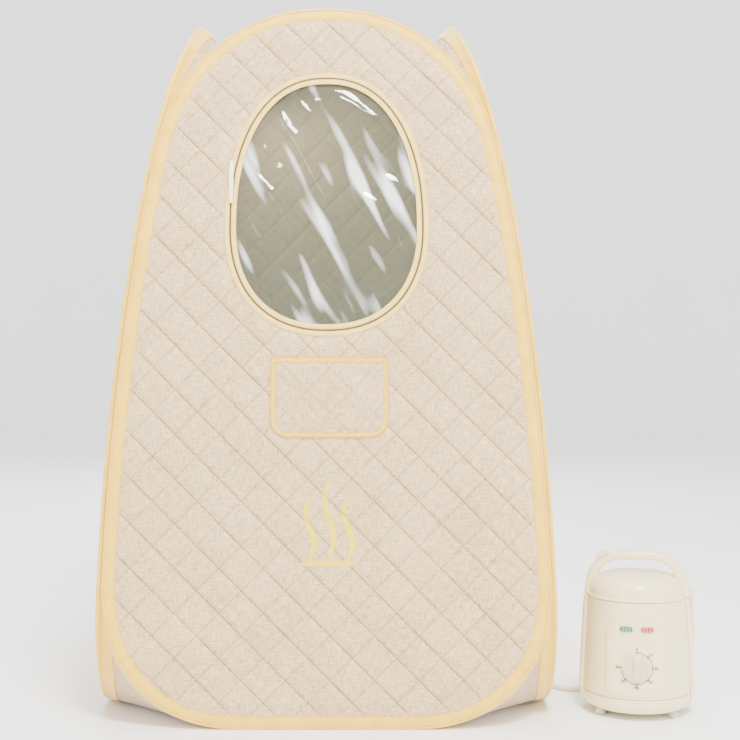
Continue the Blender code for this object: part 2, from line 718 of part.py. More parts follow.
def build_port():
    """The steam inlet through the right panel, its inner nut and the elbow that takes the hose."""
    outside = reach(PORT_Z) - PANEL_NEAR + 2 * LAY
    inside = reach(PORT_Z) - PANEL_FAR - 2 * LAY
    tip = inside - 0.016
    face = outside + 0.004
    port = [(PORT_BORE, face), (PORT_FLANGE, face - 0.001), (PORT_FLANGE, outside), (PORT_BARREL, outside),
            (PORT_BARREL, tip), (PORT_BORE, tip)]
    nut = tube_profile(PORT_BARREL + 0.0005, NUT_RADIUS, inside - 0.006, inside)
    for name, profile in (("steam_inlet_port", port), ("port_nut", nut)):
        mesh = turned_mesh(name, profile, 20, "X")
        add_object(name, shifted(mesh, (0, PORT_Y, PORT_Z)), "ivory")
    start = face + GAP
    path = [Vector((start, PORT_Y, PORT_Z)), Vector((start + ELBOW_BEND / 2, PORT_Y, PORT_Z))]
    for k in range(5):
        angle = math.radians(90 - 22.5 * k)
        path.append(Vector((ELBOW_X - ELBOW_BEND + ELBOW_BEND * math.cos(angle),
                            PORT_Y - ELBOW_BEND + ELBOW_BEND * math.sin(angle), PORT_Z)))
    path.append(Vector((ELBOW_X, HOSE_ROUTE[-1][1] + GAP, PORT_Z)))
    curve_tube("inlet_elbow", path, ELBOW_RADIUS, "ivory")


def curve_tube(name, points, radius, material_name):
    """A round solid along points, with filled caps."""
    curve = bpy.data.curves.new(name, "CURVE")
    curve.dimensions = "3D"
    spline = curve.splines.new("POLY")
    spline.points.add(len(points) - 1)
    for target, point in zip(spline.points, points):
        target.co = (*point, 1.0)
    curve.bevel_depth = radius
    curve.bevel_resolution = 2
    curve.use_fill_caps = True
    curve.materials.append(material(material_name))
    bpy.context.scene.collection.objects.link(bpy.data.objects.new(name, curve))


def smooth_route(route, step):
    """Evenly spaced points on one smooth curve through a route's own points."""
    points = [Vector(p) for p in route]
    padded = [2 * points[0] - points[1]] + points + [2 * points[-1] - points[-2]]
    dense = []
    for i in range(1, len(padded) - 2):
        p0, p1, p2, p3 = padded[i - 1:i + 3]
        for k in range(24):
            t = k / 24
            dense.append(0.5 * (2 * p1 + (p2 - p0) * t + (2 * p0 - 5 * p1 + 4 * p2 - p3) * t ** 2
                                + (3 * p1 - p0 - 3 * p2 + p3) * t ** 3))
    dense.append(points[-1])
    length = sum((b - a).length for a, b in zip(dense, dense[1:]))
    pieces = round(length / step)
    spaced, walked, target = [dense[0]], 0.0, length / pieces
    for a, b in zip(dense, dense[1:]):
        span = (b - a).length
        while walked + span >= target * len(spaced) and len(spaced) < pieces:
            spaced.append(a.lerp(b, (target * len(spaced) - walked) / span))
        walked += span
    return spaced + [dense[-1]]


def build_hose():
    """The steam hose from the generator to the tent."""
    curve_tube("steam_hose", smooth_route(HOSE_ROUTE, HOSE_STEP), HOSE_DIAMETER / 2, "hose")


# ---- generator pieces -----------------------------------------------------------------------------------
def body_radius(z):
    """Outer radius of the generator's body at a height."""
    t = min(max((z - BASE_SEAM) / (LID_SEAM - BASE_SEAM), 0.0), 1.0)
    return BASE_RADIUS + (SEAM_RADIUS - BASE_RADIUS) * t + BODY_BULGE * 4 * t * (1 - t)


def base_radius(z):
    """Outer radius of the base pan's rounded edge at a height."""
    drop = max(FOOT_HEIGHT + GAP + BASE_ROUND - z, 0.0)
    return BASE_RADIUS - BASE_ROUND + math.sqrt(max(BASE_ROUND ** 2 - drop ** 2, 0.0))


def build_casing(frame):
    """Base pan, body shell, side frames and feet."""
    bottom = FOOT_HEIGHT + GAP
    outer = [(base_radius(bottom + BASE_ROUND * t), bottom + BASE_ROUND * t) for t in (0, 0.13, 0.45, 1)]
    inner = [(r - WALL, max(z, bottom + WALL)) for r, z in reversed(outer)]
    rim = BASE_SEAM - GAP
    pan = [(0, bottom)] + outer + [(BASE_RADIUS, rim), (BASE_RADIUS - WALL, rim)]
    pan += inner[:3] + [(0, bottom + WALL)]
    add_object("base_pan", turned_mesh("base_pan", pan), "ivory", frame)
    levels = [BASE_SEAM + (LID_SEAM - BASE_SEAM) * k / 3 for k in range(4)]
    shell = [(body_radius(z), z) for z in levels]
    shell += [(body_radius(z) - WALL, z) for z in reversed(levels)]
    body = add_object("body_shell", turned_mesh("body_shell", shell), "ivory", frame)
    boolean(body, shaft_hole(), "DIFFERENCE", frame)
    for name, turn in (("left_side_frame", math.pi), ("right_side_frame", 0.0)):
        add_object(name, side_frame_mesh(name, turn), "ivory", frame)
    foot = [(0, 0), (FOOT_RADIUS - 0.002, 0), (FOOT_RADIUS, 0.003),
            (FOOT_RADIUS, FOOT_HEIGHT), (0, FOOT_HEIGHT)]
    for row, y in (("front", -FOOT_Y), ("rear", FOOT_Y)):
        for column, x in (("left", -FOOT_X), ("right", FOOT_X)):
            obj = add_object("foot_" + row + "_" + column, turned_mesh("foot", foot, 12), "rubber", frame)
            obj.location = (x, y, 0)


def side_frame_mesh(name, turn):
    """An upright rib over the casing's side, from under its base up to the lid's seam."""
    low, rounded, thick, foot_thick = 0.0205, 0.030, 0.0075, 0.0040
    levels = [low, 0.026, 0.034, BASE_SEAM, 0.10, 0.16, LID_SEAM - GAP]

    def skin(z):
        return base_radius(z) if z < BASE_SEAM else body_radius(z)

    section = [(skin(z) + 0.0004, z) for z in levels]
    section += [(skin(z) + (foot_thick if z == low else thick), z)
                for z in reversed([low, rounded] + levels[3:])]
    sections = []
    for k in range(5):
        angle = turn + math.radians(SIDE_FRAME_SPREAD * (k / 2 - 1))
        sections.append([(r * math.cos(angle), r * math.sin(angle), z) for r, z in section])
    return swept_mesh(name, sections)


def shaft_hole():
    """The tool that drills the timer shaft's hole through the plate and the body."""
    return shifted(turned_mesh("hole", rod_profile(SHAFT_HOLE, -0.12, -0.07), 12, "Y"), (0, 0, DIAL_Z))


def build_controls(frame):
    """Raised control plate, lamps, timer dial, its shaft and the timer behind."""
    columns = [math.sin(math.radians(a)) for a in (-90, -66, -45, -27, -13, 0, 13, 27, 45, 66, 90)]
    front, back = [], []
    for k in range(7):
        rows = ([], [])
        for c in columns:
            low, high = plate_span(c)
            x, z = PLATE_HALF * c, low + (high - low) * k / 6
            for row, offset in zip(rows, (PLATE_THICK, 0.0005)):
                row.append((x, -math.sqrt((body_radius(z) + offset) ** 2 - x ** 2), z))
        front.append(rows[0])
        back.append(rows[1])
    plate = add_object("control_plate", plate_mesh("control_plate", front, back), "ivory", frame)
    boolean(plate, shaft_hole(), "DIFFERENCE", frame)
    for name, x, colour in (("power_lamp", -LAMP_X, "green_lamp"), ("heat_lamp", LAMP_X, "red_lamp")):
        radius = body_radius(LAMP_Z - LAMP_SIZE.z / 2) + PLATE_THICK + GAP + LAMP_SIZE.y / 2
        angle = math.asin(x / radius)
        lamp = add_object(name, pill_mesh(name, LAMP_SIZE), colour, frame)
        lamp.location = (x, -radius * math.cos(angle), LAMP_Z)
        lamp.rotation_euler = Euler((0, 0, angle))
    build_timer(frame)


def plate_span(c):
    """Lowest and highest point of the control plate, at a place across it from -1 to 1."""
    side = max(abs(PLATE_HALF * c) - (PLATE_HALF - PLATE_CORNER), 0.0)
    corner = PLATE_CORNER - math.sqrt(max(PLATE_CORNER ** 2 - side ** 2, 0.0))
    arch = (PLATE_TOP - PLATE_SHOULDER) * (0.5 + 0.5 * math.cos(math.pi * min(abs(c) / 0.85, 1.0)))
    return PLATE_BOTTOM + corner, PLATE_SHOULDER + arch - corner * 0.55


def build_timer(frame):
    """The timer's dial with its bow-tie grip, the shaft behind it and the timer inside the body."""
    place = Vector((0, -(body_radius(DIAL_Z - DIAL_RADIUS) + PLATE_THICK + GAP), DIAL_Z))
    disc = [(0, 0), (DIAL_RADIUS, 0), (DIAL_RADIUS - 0.001, -0.0045),
            (DIAL_RADIUS - 0.003, -DISC_DEPTH), (0, -DISC_DEPTH)]
    dial = add_object("timer_dial", turned_mesh("dial", disc, 24, "Y"), "ivory", frame)
    dial.location = place
    grip = ([], [])
    for k in range(7):
        along = k / 3 - 1
        width = 0.0055 + 0.0045 * along ** 2
        height = along * (DIAL_RADIUS - 0.002)
        for row, y in zip(grip, (-DIAL_DEPTH, -0.004)):
            row.append([(-width, y, height), (width, y, height)])
    boolean(dial, plate_mesh("grip", *grip), "UNION", frame, place)
    inner = TIMER_Y - TIMER_SIZE.y / 2 - SHAFT_END - place.y
    shaft = turned_mesh("shaft", rod_profile(SHAFT_RADIUS, GAP, inner), 10, "Y")
    add_object("timer_shaft", shaft, "steel", frame).location = place
    timer = box_mesh("timer", (0, 0, 0), TIMER_SIZE, 0.002)
    add_object("timer_unit", timer, "black", frame).location = (0, TIMER_Y, DIAL_Z)


def pill_mesh(name, size):
    """A flat pill with round ends, standing on the XZ plane and facing -Y."""
    radius = size.z / 2
    outline = []
    for centre, start in ((size.x / 2 - radius, -90), (radius - size.x / 2, 90)):
        for k in range(7):
            angle = math.radians(start + 30 * k)
            outline.append((centre + radius * math.cos(angle), radius * math.sin(angle)))
    back = [(x, size.y / 2, z) for x, z in outline]
    front = [(x * 0.97, -size.y / 2, z * 0.9) for x, z in outline]
    return swept_mesh(name, [back, front])


def build_boiler(frame):
    """Water tank, heating plate and thermal cut-out inside the body."""
    top, floor, lip, wall = 0.2155, 0.0620, 0.0885, 0.0015
    inner, corner = 0.0705, 0.0035
    tank = [(0, floor), (inner - corner, floor), (inner + wall, floor + corner + wall / 2),
            (inner + wall, top - wall), (lip, top - wall), (lip, top), (inner, top),
            (inner, floor + wall + corner), (inner - corner, floor + wall), (0, floor + wall)]
    heater = rod_profile(0.048, 0.0500, floor - GAP)
    cutout = rod_profile(0.010, 0.0440, 0.0500 - GAP)
    add_object("water_tank", turned_mesh("tank", tank, 24), "steel", frame)
    add_object("heating_plate", turned_mesh("heater", heater, 20), "heater", frame)
    add_object("thermal_cutout", turned_mesh("cutout", cutout, 12), "black", frame)


def build_lid(frame, pivot):
    """Lid, gasket, handle, release button and knuckle, carried by an empty on the lid's hinge line."""
    carrier = empty("lid_carrier", pivot, parent=frame)
    rise = LID_TOP - LID_SEAM
    outer = [(r, LID_SEAM + rise * t) for r, t in LID_SHOULDER] + [(LID_TOP_RADIUS, LID_TOP), (0, LID_TOP)]
    inner = [(0, LID_TOP - WALL), (LID_TOP_RADIUS, LID_TOP - WALL)]
    inner += [(r - WALL, LID_SEAM + rise * t - WALL * t) for r, t in reversed(LID_SHOULDER)]
    add_object("lid", shifted(turned_mesh("lid", outer + inner), -pivot), "ivory", carrier)
    ring = tube_profile(GASKET["inner"], GASKET["outer"], LID_SEAM - GASKET["drop"], LID_SEAM + GASKET["rise"])
    add_object("lid_gasket", shifted(turned_mesh("gasket", ring, 24), -pivot), "rubber", carrier)
    add_object("handle", shifted(handle_mesh(), -pivot), "ivory", carrier)
    knuckle = tube_profile(HINGE_BORE, HINGE_BARREL, -KNUCKLE_HALF, KNUCKLE_HALF)
    obj = add_object("lid_knuckle", turned_mesh("knuckle", knuckle, 12, "Y"), "ivory", carrier)
    block = box_mesh("block", KNUCKLE_BLOCK_CENTRE, KNUCKLE_BLOCK, 0.0015)
    boolean(obj, block, "UNION", carrier)
    build_button(carrier, pivot)


def build_button(carrier, pivot):
    """The release button, sunk in its bezel on the handle's left shoulder, square to the handle there."""
    x, z, thick = handle_bend(BUTTON_BEND)
    ahead = handle_bend(BUTTON_BEND + math.radians(2))
    tilt = -math.atan2(ahead[1] - z, x - ahead[0])
    up = Vector((math.sin(tilt), 0, math.cos(tilt)))
    foot = Vector((-x, 0, z)) + up * (thick / 2 + GAP) - pivot
    plate = box_mesh("bezel", (0, 0, BEZEL.z / 2), BEZEL, 0.0008)
    cap = box_mesh("button", (0, 0, BUTTON.z / 2), BUTTON, 0.0010)
    bezel = add_object("button_bezel", plate, "ivory", carrier)
    button = add_object("release_button", cap, "ivory", carrier)
    hole = (BUTTON.x + 2 * BUTTON_CLEAR, BUTTON.y + 2 * BUTTON_CLEAR, 2 * (BEZEL.z - BUTTON_FLOOR))
    boolean(bezel, box_mesh("recess", (0, 0, BEZEL.z), hole), "DIFFERENCE", bezel)
    bezel.location = foot
    button.location = foot + up * (BUTTON_FLOOR + BUTTON_TRAVEL + GAP)
    for obj in (bezel, button):
        obj.rotation_euler = Euler((0, tilt, 0))


def handle_bend(angle):
    """Centre and thickness of the handle round its right shoulder, 0 at its leg, 90 degrees at its top."""
    across, low = 0.084, LID_SEAM + 0.0420
    high = HANDLE_TOP - HANDLE_THICK / 2
    return (0.030 + (across - 0.030) * math.cos(angle), low + (high - low) * math.sin(angle) ** 1.7,
            HANDLE_THICK * (0.92 + 0.08 * math.sin(angle)))


def handle_mesh():
    """The arch over the lid: centre line, thickness in the arch's plane and depth at each point."""
    points = [(x, LID_SEAM + height, thick) for x, height, thick in HANDLE_LEG]
    points += [handle_bend(math.radians(90 * k / 6)) for k in range(7)]
    line = points + [(-x, z, thick) for x, z, thick in reversed(points)]
    sections = []
    for i, (x, z, thick) in enumerate(line):
        before, after = line[max(i - 1, 0)], line[min(i + 1, len(line) - 1)]
        along = Vector((after[0] - before[0], 0, after[1] - before[1])).normalized()
        if i in (0, len(line) - 1):
            along = Vector((0, 0, 1 if i == 0 else -1))
        across = Vector((-along.z, 0, along.x))
        half, deep, edge = thick / 2, HANDLE_DEPTH / 2, min(thick * 0.3, 0.004)
        corners = [(half, deep - edge), (half - edge, deep), (edge - half, deep), (-half, deep - edge),
                   (-half, edge - deep), (edge - half, -deep), (half - edge, -deep), (half, edge - deep)]
        sections.append([Vector((x, y, z)) + across * a for a, y in corners])
    return swept_mesh("handle", sections)


def build_hinge(frame, pivot):
    """The body's half of the lid hinge: two knuckles with their tapering strap, and the pin."""
    front, back = [], []
    for k in range(6):
        t = k / 5
        z = LID_SEAM - STRAP_DROP - STRAP_LENGTH * t
        width = BARREL_END * (1 - t) ** 0.8 + STRAP_TIP
        skin = body_radius(z) + STRAP_OUT
        for rows, x in ((front, skin + STRAP_THICK), (back, skin)):
            rows.append([(x, -width, z), (x, width, z)])
    strap = add_object("hinge_strap", plate_mesh("strap", front, back), "ivory", frame)
    barrels, lugs = [], []
    for side in (-1, 1):
        low, high = sorted((side * (KNUCKLE_HALF + GAP), side * BARREL_END))
        barrel = turned_mesh("barrel", tube_profile(HINGE_BORE, HINGE_BARREL, low, high), 12, "Y")
        barrels.append(shifted(barrel, pivot))
        lugs.append(box_mesh("lug", (HINGE_X, (low + high) / 2, LID_SEAM - LUG_DROP), LUG))
    boolean(strap, merge_meshes("barrels", barrels), "UNION", frame)
    boolean(strap, merge_meshes("lugs", lugs), "UNION", frame)
    pin = turned_mesh("pin", rod_profile(HINGE_PIN, -BARREL_END, BARREL_END), 12, "Y")
    add_object("hinge_pin", shifted(pin, pivot), "steel", frame)


def build_connections(frame):
    """Steam outlet and mains inlet at the generator's back."""
    skin = body_radius(OUTLET_Z - OUTLET_FLANGE) + GAP
    face = skin + OUTLET_FLANGE_THICK
    narrowing, taper = OUTLET_TAPER
    outlet = [(0, skin), (OUTLET_FLANGE, skin), (OUTLET_FLANGE, face), (OUTLET_SPOUT, face + OUTLET_FILLET),
              (OUTLET_SPOUT, OUTLET_REACH - taper), (OUTLET_SPOUT - narrowing, OUTLET_REACH),
              (0, OUTLET_REACH)]
    mesh = turned_mesh("outlet", outlet, 16, "Y")
    add_object("steam_outlet", shifted(mesh, (0, 0, OUTLET_Z)), "ivory", frame)
    middle = Vector((0, body_radius(INLET_Z - INLET_SIZE.z / 2) + GAP + INLET_SIZE.y / 2, INLET_Z))
    inlet = add_object("mains_inlet", box_mesh("inlet", middle, INLET_SIZE, 0.001), "black", frame)
    socket = INLET_SIZE - Vector((2, 0, 2)) * INLET_WALL
    boolean(inlet, box_mesh("socket", middle + Vector((0, INLET_WALL, 0)), socket), "DIFFERENCE", frame)


def main():
    """Remove what is in the scene and build the sauna."""
    for obj in list(bpy.data.objects):
        bpy.data.objects.remove(obj)
    build_hoops()
    build_panels()
    build_cloths()
    film = PANEL_NEAR + FILM_SET_BACK
    build_flap("window", 0, WINDOW, "window_film", "film", film, film + FILM_THICK, -1, WINDOW_SLIDER_Z)
    build_flap("door", 3, DOOR, "door_panel", "quilt", PANEL_NEAR, PANEL_FAR, 1, DOOR_SLIDER_Z)
    build_pocket()
    build_emblem()
    build_port()
    build_hose()
    frame = empty("generator", GENERATOR, GENERATOR_TURN)
    pivot = Vector((HINGE_X, 0, LID_SEAM))
    build_casing(frame)
    build_controls(frame)
    build_boiler(frame)
    build_lid(frame, pivot)
    build_hinge(frame, pivot)
    build_connections(frame)


main()
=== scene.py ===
"""Looks for the portable steam sauna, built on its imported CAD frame.

Metres, +Z up, -Y is the tent's front.  A place on a panel is (u, z): across it and up it, seen from
outside, with depth measured inward from its outer surface.
"""
import json
import math

import bmesh
import bpy
import numpy as np
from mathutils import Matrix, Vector, noise


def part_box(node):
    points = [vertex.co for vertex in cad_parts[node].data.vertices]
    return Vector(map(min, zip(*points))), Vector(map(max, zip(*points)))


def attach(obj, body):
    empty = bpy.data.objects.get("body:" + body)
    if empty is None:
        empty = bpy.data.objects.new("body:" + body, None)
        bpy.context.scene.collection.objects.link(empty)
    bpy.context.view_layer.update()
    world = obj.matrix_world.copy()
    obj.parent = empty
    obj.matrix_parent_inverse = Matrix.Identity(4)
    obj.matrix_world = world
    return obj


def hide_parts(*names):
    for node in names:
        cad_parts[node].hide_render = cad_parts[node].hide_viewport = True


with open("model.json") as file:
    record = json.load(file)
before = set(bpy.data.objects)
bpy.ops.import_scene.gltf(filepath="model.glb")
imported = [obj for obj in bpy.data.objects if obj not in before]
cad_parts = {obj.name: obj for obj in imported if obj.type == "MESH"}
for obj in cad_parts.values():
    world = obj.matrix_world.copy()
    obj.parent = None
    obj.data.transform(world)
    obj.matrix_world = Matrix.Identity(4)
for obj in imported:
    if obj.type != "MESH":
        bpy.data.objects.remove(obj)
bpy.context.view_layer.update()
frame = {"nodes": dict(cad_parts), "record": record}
JOINTS = {joint["name"]: joint for joint in frame["record"]["behaviour"]["joints"]}

# ---- camera -------------------------------------------------------------------------------------
CAMERA_HEIGHT = 0.824
CAMERA_AHEAD = 3.0           # from the tent's front at the floor
SENSOR = 36.0
LENS = 77.8
SHIFT = (0.0588, -0.109)

# ---- light --------------------------------------------------------------------------------------
WORLD_STRENGTH = 1.62
LIGHTS = [                   # name, place, what it is aimed at, size in metres, power in watts
    ("key", (0.7, -2.9, 4.2), (0.1, -0.4, 0.7), 0.9, 400),
    ("fill", (-3.2, -3.4, 1.8), (0.0, -0.3, 0.6), 2.4, 75),
    ("side", (3.0, -3.0, 1.6), (0.4, -0.3, 0.4), 1.8, 75),
    ("top", (0.0, 0.2, 3.9), (0.0, 0.0, 0.9), 2.2, 130),
    ("rim", (-0.5, 3.4, 2.4), (0.0, 0.2, 0.8), 2.0, 90),
    ("cabin", (-0.10, 0.14, 1.16), (0.05, 0.36, 0.85), 0.20, 1.5),
]

# ---- tent ---------------------------------------------------------------------------------------
SIDES = ("front", "right", "back", "left")
HALF_BASE = -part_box("front_hoop_sleeve")[0][1]
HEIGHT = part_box("front_hoop_sleeve")[1][2]
LEAN = 0.078                 # how far a panel leans in at a height of one metre
TOP_LEAN = 0.002             # the extra lean that bends its top inward, at a height of one metre
FLAT_HALF = 0.163            # half of the straight stretch of a hoop that lies on the floor
CORNER_TOP = 0.272           # height where the hoop's bottom corner becomes its side
CORNER_POWER = 2.2
ARCH_START = 1.060           # height where neighbouring hoops part and the top arch begins
ARCH_RISE_POWER = 2.9
ARCH_ACROSS_POWER = 2.3
SLEEVE_WIDTH = 0.026
SLEEVE_DEPTH = 0.009
GAP = 0.0003
PANEL_NEAR = 0.0020          # depth of the panel's outer face
PANEL_FAR = 0.0070
ROOF_SAG = 0.040             # how far the roof cloth drops just inside a hoop
ROOF_SAG_WIDTH = 0.016
ROOF_FLAT_EDGE = 0.020       # width beside a hoop where the roof cloth doesn't drop yet
ROOF_HALF = 0.350            # from the roof cloth's middle to its edge, along the cloth
ROOF_THICK = 0.0020
FLOOR_THICK = 0.0012
PORT_PLACE = (0.120, 0.075)  # across the right panel and up it
PORT_HOLE = 0.018
CLOTH_DEPTH = SLEEVE_DEPTH - 0.001   # depth of the roof's and the floor's edges behind a panel's face
LEG_THICK = 0.0016           # the binding's second leg, on the roof cloth and the bottom corners
LEG_STEPS = SLEEVE_WIDTH * np.array([0.0, 0.12, 0.28, 0.46, 0.64, 0.82, 0.94, 1.0])

# ---- quilting -----------------------------------------------------------------------------------
QUILT_PITCH = 0.0590         # side of a stitched square
QUILT_START = (-0.0015, 0.0101)   # where the two sets of stitch lines begin, along their diagonals
QUILT_RISE = 0.0054
QUILT_STEPS = (0.0, 0.03, 0.09, 0.18, 0.32, 0.50, 0.68, 0.82, 0.91, 0.97)
STITCH_HALF = 0.0120         # half the width of a line of stitches, as a share of a square
STITCHES = 17.0              # stitches along a square's side
STITCH_GAP = 0.28            # share of each stitch where its thread is hidden

# ---- window, door, pocket and emblem ------------------------------------------------------------
WINDOW = {"half": 0.196, "up": 0.302, "down": 0.210, "level": 0.945, "power": 2.25}
DOOR = {"half": 0.262, "up": 0.600, "down": 0.480, "level": 0.620, "power": 2.6}
TAPE = 0.0099
ZIP = 0.0030
TOOTH_PITCH = 0.0024
TOOTH_HALF = 0.00095
TOOTH_SHIFT = 0.00030        # how far teeth reach in and out in turn
FLAP_TUCK = 0.0030           # how far inside the zip a flap's cloth begins
FILM_DEPTH = 0.0034
FILM_THICK = 0.0006
FILM_STEP = 0.0038           # spacing of the film's points
FILM_FOLDS = -58             # slant of the film's folds, in degrees
POCKET_CENTRE = 0.005
POCKET_HALF = 0.111
POCKET_LOW = 0.545
POCKET_HIGH = 0.694
POCKET_CORNER = 0.034
POCKET_EDGE = 0.0095
POCKET_THICK = 0.0028
EMBLEM_CENTRE = (0.005, 0.392)
EMBLEM_HEIGHT = 0.150
EMBLEM_STROKE = 0.013
EMBLEM_PITCH = 0.036
EMBLEM_WAVE = 0.008
EMBLEM_BAR = 0.052           # half the length of the bar under the wisps
EMBLEM_PROUD = 0.0005
EMBLEM_THICK = 0.0004

# ---- steam generator ----------------------------------------------------------------------------
ROUND = 112                  # steps round its turned pieces
FOOT_HEIGHT = 0.012
BASE_SEAM = 0.043
LID_SEAM = 0.226
BASE_RADIUS = 0.1040
SEAM_RADIUS = 0.0945
BODY_BULGE = 0.001
BASE_ROUND = 0.020
WALL = 0.0025
LID_RISE = 0.042
HINGE_X = 0.1065
HANDLE_TOP = 0.3105
HANDLE_THICK = 0.0165
HANDLE_DEPTH = 0.026
PLATE_HALF = 0.0595
PLATE_LOW = 0.049
PLATE_SHOULDER = 0.184
PLATE_TOP = 0.2075
PLATE_CORNER = 0.018
PLATE_THICK = 0.0030
PLATE_BEVEL = 0.0046
LAMP_Z = 0.177
LAMP_X = 0.0197
LAMP_SIZE = (0.0250, 0.0100)
DIAL_Z = 0.104
DIAL_RADIUS = 0.026
SCALE_RADIUS = 0.030
OUTLET_Z = 0.185
OUTLET_REACH = 0.1280

# ---- hose ---------------------------------------------------------------------------------------
HOSE_DIAMETER = 0.010
# Out of the generator's back, down to the floor, round a loose bend behind it, across to the tent and
# up to the elbow on its right side.
HOSE_ROUTE = [
    (0.6335, -0.1640, 0.1850), (0.6391, -0.1350, 0.1850), (0.6462, -0.0985, 0.1690),
    (0.6530, -0.0720, 0.1280), (0.6600, -0.0500, 0.0780), (0.6720, -0.0280, 0.0350),
    (0.6890, -0.0010, 0.0120), (0.7080, 0.0300, 0.0056), (0.7150, 0.0660, 0.0056),
    (0.7020, 0.1010, 0.0056), (0.6710, 0.1210, 0.0056), (0.6340, 0.1150, 0.0056),
    (0.6080, 0.0880, 0.0056), (0.5960, 0.0500, 0.0056), (0.5900, 0.0090, 0.0056),
    (0.5850, -0.0320, 0.0056), (0.5785, -0.0670, 0.0056), (0.5668, -0.0987, 0.0056),
    (0.5500, -0.1270, 0.0056), (0.5325, -0.1450, 0.0056), (0.5095, -0.1512, 0.0056),
    (0.4865, -0.1450, 0.0056), (0.4700, -0.1270, 0.0056), (0.4638, -0.1030, 0.0056),
    (0.4630, -0.0760, 0.0056), (0.4630, -0.0460, 0.0060), (0.4640, -0.0150, 0.0120),
    (0.4655, 0.0120, 0.0300), (0.4665, 0.0360, 0.0545), (0.4670, 0.0560, 0.0700),
    (0.4670, 0.0745, 0.0750), (0.4670, 0.0935, 0.0750),
]


# ---- objects and meshes -------------------------------------------------------------------------
def link(obj):
    """Put a new object in the scene."""
    bpy.context.scene.collection.objects.link(obj)
    return obj


def piece(name, mesh, material, body="root", replaces=(), sharp=40):
    """Make a mesh into a piece that rides on a body and stands for CAD nodes."""
    obj = link(bpy.data.objects.new(name, mesh))
    mesh.materials.append(material)
    mesh.shade_smooth()
    mesh.set_sharp_from_angle(angle=math.radians(sharp))
    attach(obj, body)
    if replaces:
        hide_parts(*replaces)
    return obj


def mesh_from(name, points, faces, uv=None):
    """A mesh from arrays; uv holds one pair for each face corner."""
    mesh = bpy.data.meshes.new(name)
    used, index = np.unique(faces.reshape(-1), return_inverse=True)
    mesh.from_pydata(points[used].tolist(), [], index.reshape(faces.shape).tolist())
    if uv is not None:
        layer = mesh.uv_layers.new(name="UVMap")
        layer.data.foreach_set("uv", np.ascontiguousarray(uv, dtype=np.float32).reshape(-1))
    return mesh


def grid_mesh(name, points, uv, wrap_rows=False, wrap_columns=False, keep=None, flip=False):
    """A mesh from a grid of points (rows, columns, 3), closed round on itself where asked.

    uv has one more row or column than points where the grid closes, so that no face smears.
    """
    rows, columns = points.shape[:2]
    i, j = np.meshgrid(np.arange(rows if wrap_rows else rows - 1),
                       np.arange(columns if wrap_columns else columns - 1), indexing="ij")
    i, j = i.reshape(-1), j.reshape(-1)
    if keep is not None:
        chosen = keep.reshape(-1)
        i, j = i[chosen], j[chosen]
    around = [(i, j), (i, j + 1), (i + 1, j + 1), (i + 1, j)]
    if flip:
        around.reverse()
    faces = np.stack([(a % rows) * columns + b % columns for a, b in around], axis=-1)
    corner_uv = np.stack([uv[a, b] for a, b in around], axis=1)
    return mesh_from(name, points.reshape(-1, 3), faces, corner_uv)


def pairs(first, second):
    """A grid that holds every value of one list with every value of another."""
    return np.stack(np.meshgrid(first, second, indexing="ij"), axis=-1)


def grid_faces(rows, columns, order=(0, 1, 2, 3)):
    """Faces over a grid of points; order says how a face takes its four corners."""
    index = np.arange(rows * columns).reshape(rows, columns)
    corners = [index[:-1, :-1], index[1:, :-1], index[1:, 1:], index[:-1, 1:]]
    return np.stack([corners[k] for k in order], axis=-1).reshape(-1, 4)


def join_meshes(name, meshes):
    """One mesh from several."""
    work = bmesh.new()
    for mesh in meshes:
        work.from_mesh(mesh)
    joined = bpy.data.meshes.new(name)
    work.to_mesh(joined)
    work.free()
    return joined


def spline(points, steps):
    """Points on one smooth curve through given points, steps to each stretch."""
    points = np.array(points, dtype=float)
    padded = np.vstack([2 * points[0] - points[1], points, 2 * points[-1] - points[-2]])
    dense = []
    for p0, p1, p2, p3 in zip(padded, padded[1:], padded[2:], padded[3:]):
        for k in range(steps):
            t = k / steps
            dense.append(0.5 * (2 * p1 + (p2 - p0) * t + (2 * p0 - 5 * p1 + 4 * p2 - p3) * t ** 2
                                + (3 * p1 - p0 - 3 * p2 + p3) * t ** 3))
    return np.array(dense + [points[-1]])


def lengths(points, closed=False):
    """Distance walked along a line to each of its points, and all the way round if it closes."""
    path = np.vstack([points, points[:1]]) if closed else np.asarray(points)
    return np.concatenate([[0.0], np.cumsum(np.linalg.norm(np.diff(path, axis=0), axis=1))])


def resampled(points, count, closed=False):
    """The same line with evenly spaced points."""
    path = np.vstack([points, points[:1]]) if closed else np.asarray(points)
    walked = lengths(points, closed)
    spots = np.linspace(0, walked[-1], count, endpoint=not closed)
    return np.stack([np.interp(spots, walked, path[:, k]) for k in range(path.shape[1])], axis=-1)


def inward(loop):
    """Unit vectors that point into a closed outline drawn anticlockwise."""
    along = np.roll(loop, -1, axis=0) - np.roll(loop, 1, axis=0)
    along /= np.linalg.norm(along, axis=1)[:, None]
    return np.stack([-along[:, 1], along[:, 0]], axis=-1)


def rounded(points, radius, steps=5):
    """An open line with its corners rounded to a radius."""
    points = [np.array(p, dtype=float) for p in points]
    line = [points[0]]
    for before, corner, after in zip(points, points[1:], points[2:]):
        a, b = before - corner, after - corner
        reach_in = min(radius, np.linalg.norm(a) * 0.45, np.linalg.norm(b) * 0.45)
        start = corner + a / np.linalg.norm(a) * reach_in
        end = corner + b / np.linalg.norm(b) * reach_in
        for k in range(steps + 1):
            t = k / steps
            line.append((1 - t) ** 2 * start + 2 * t * (1 - t) * corner + t ** 2 * end)
    return np.array(line + [points[-1]])


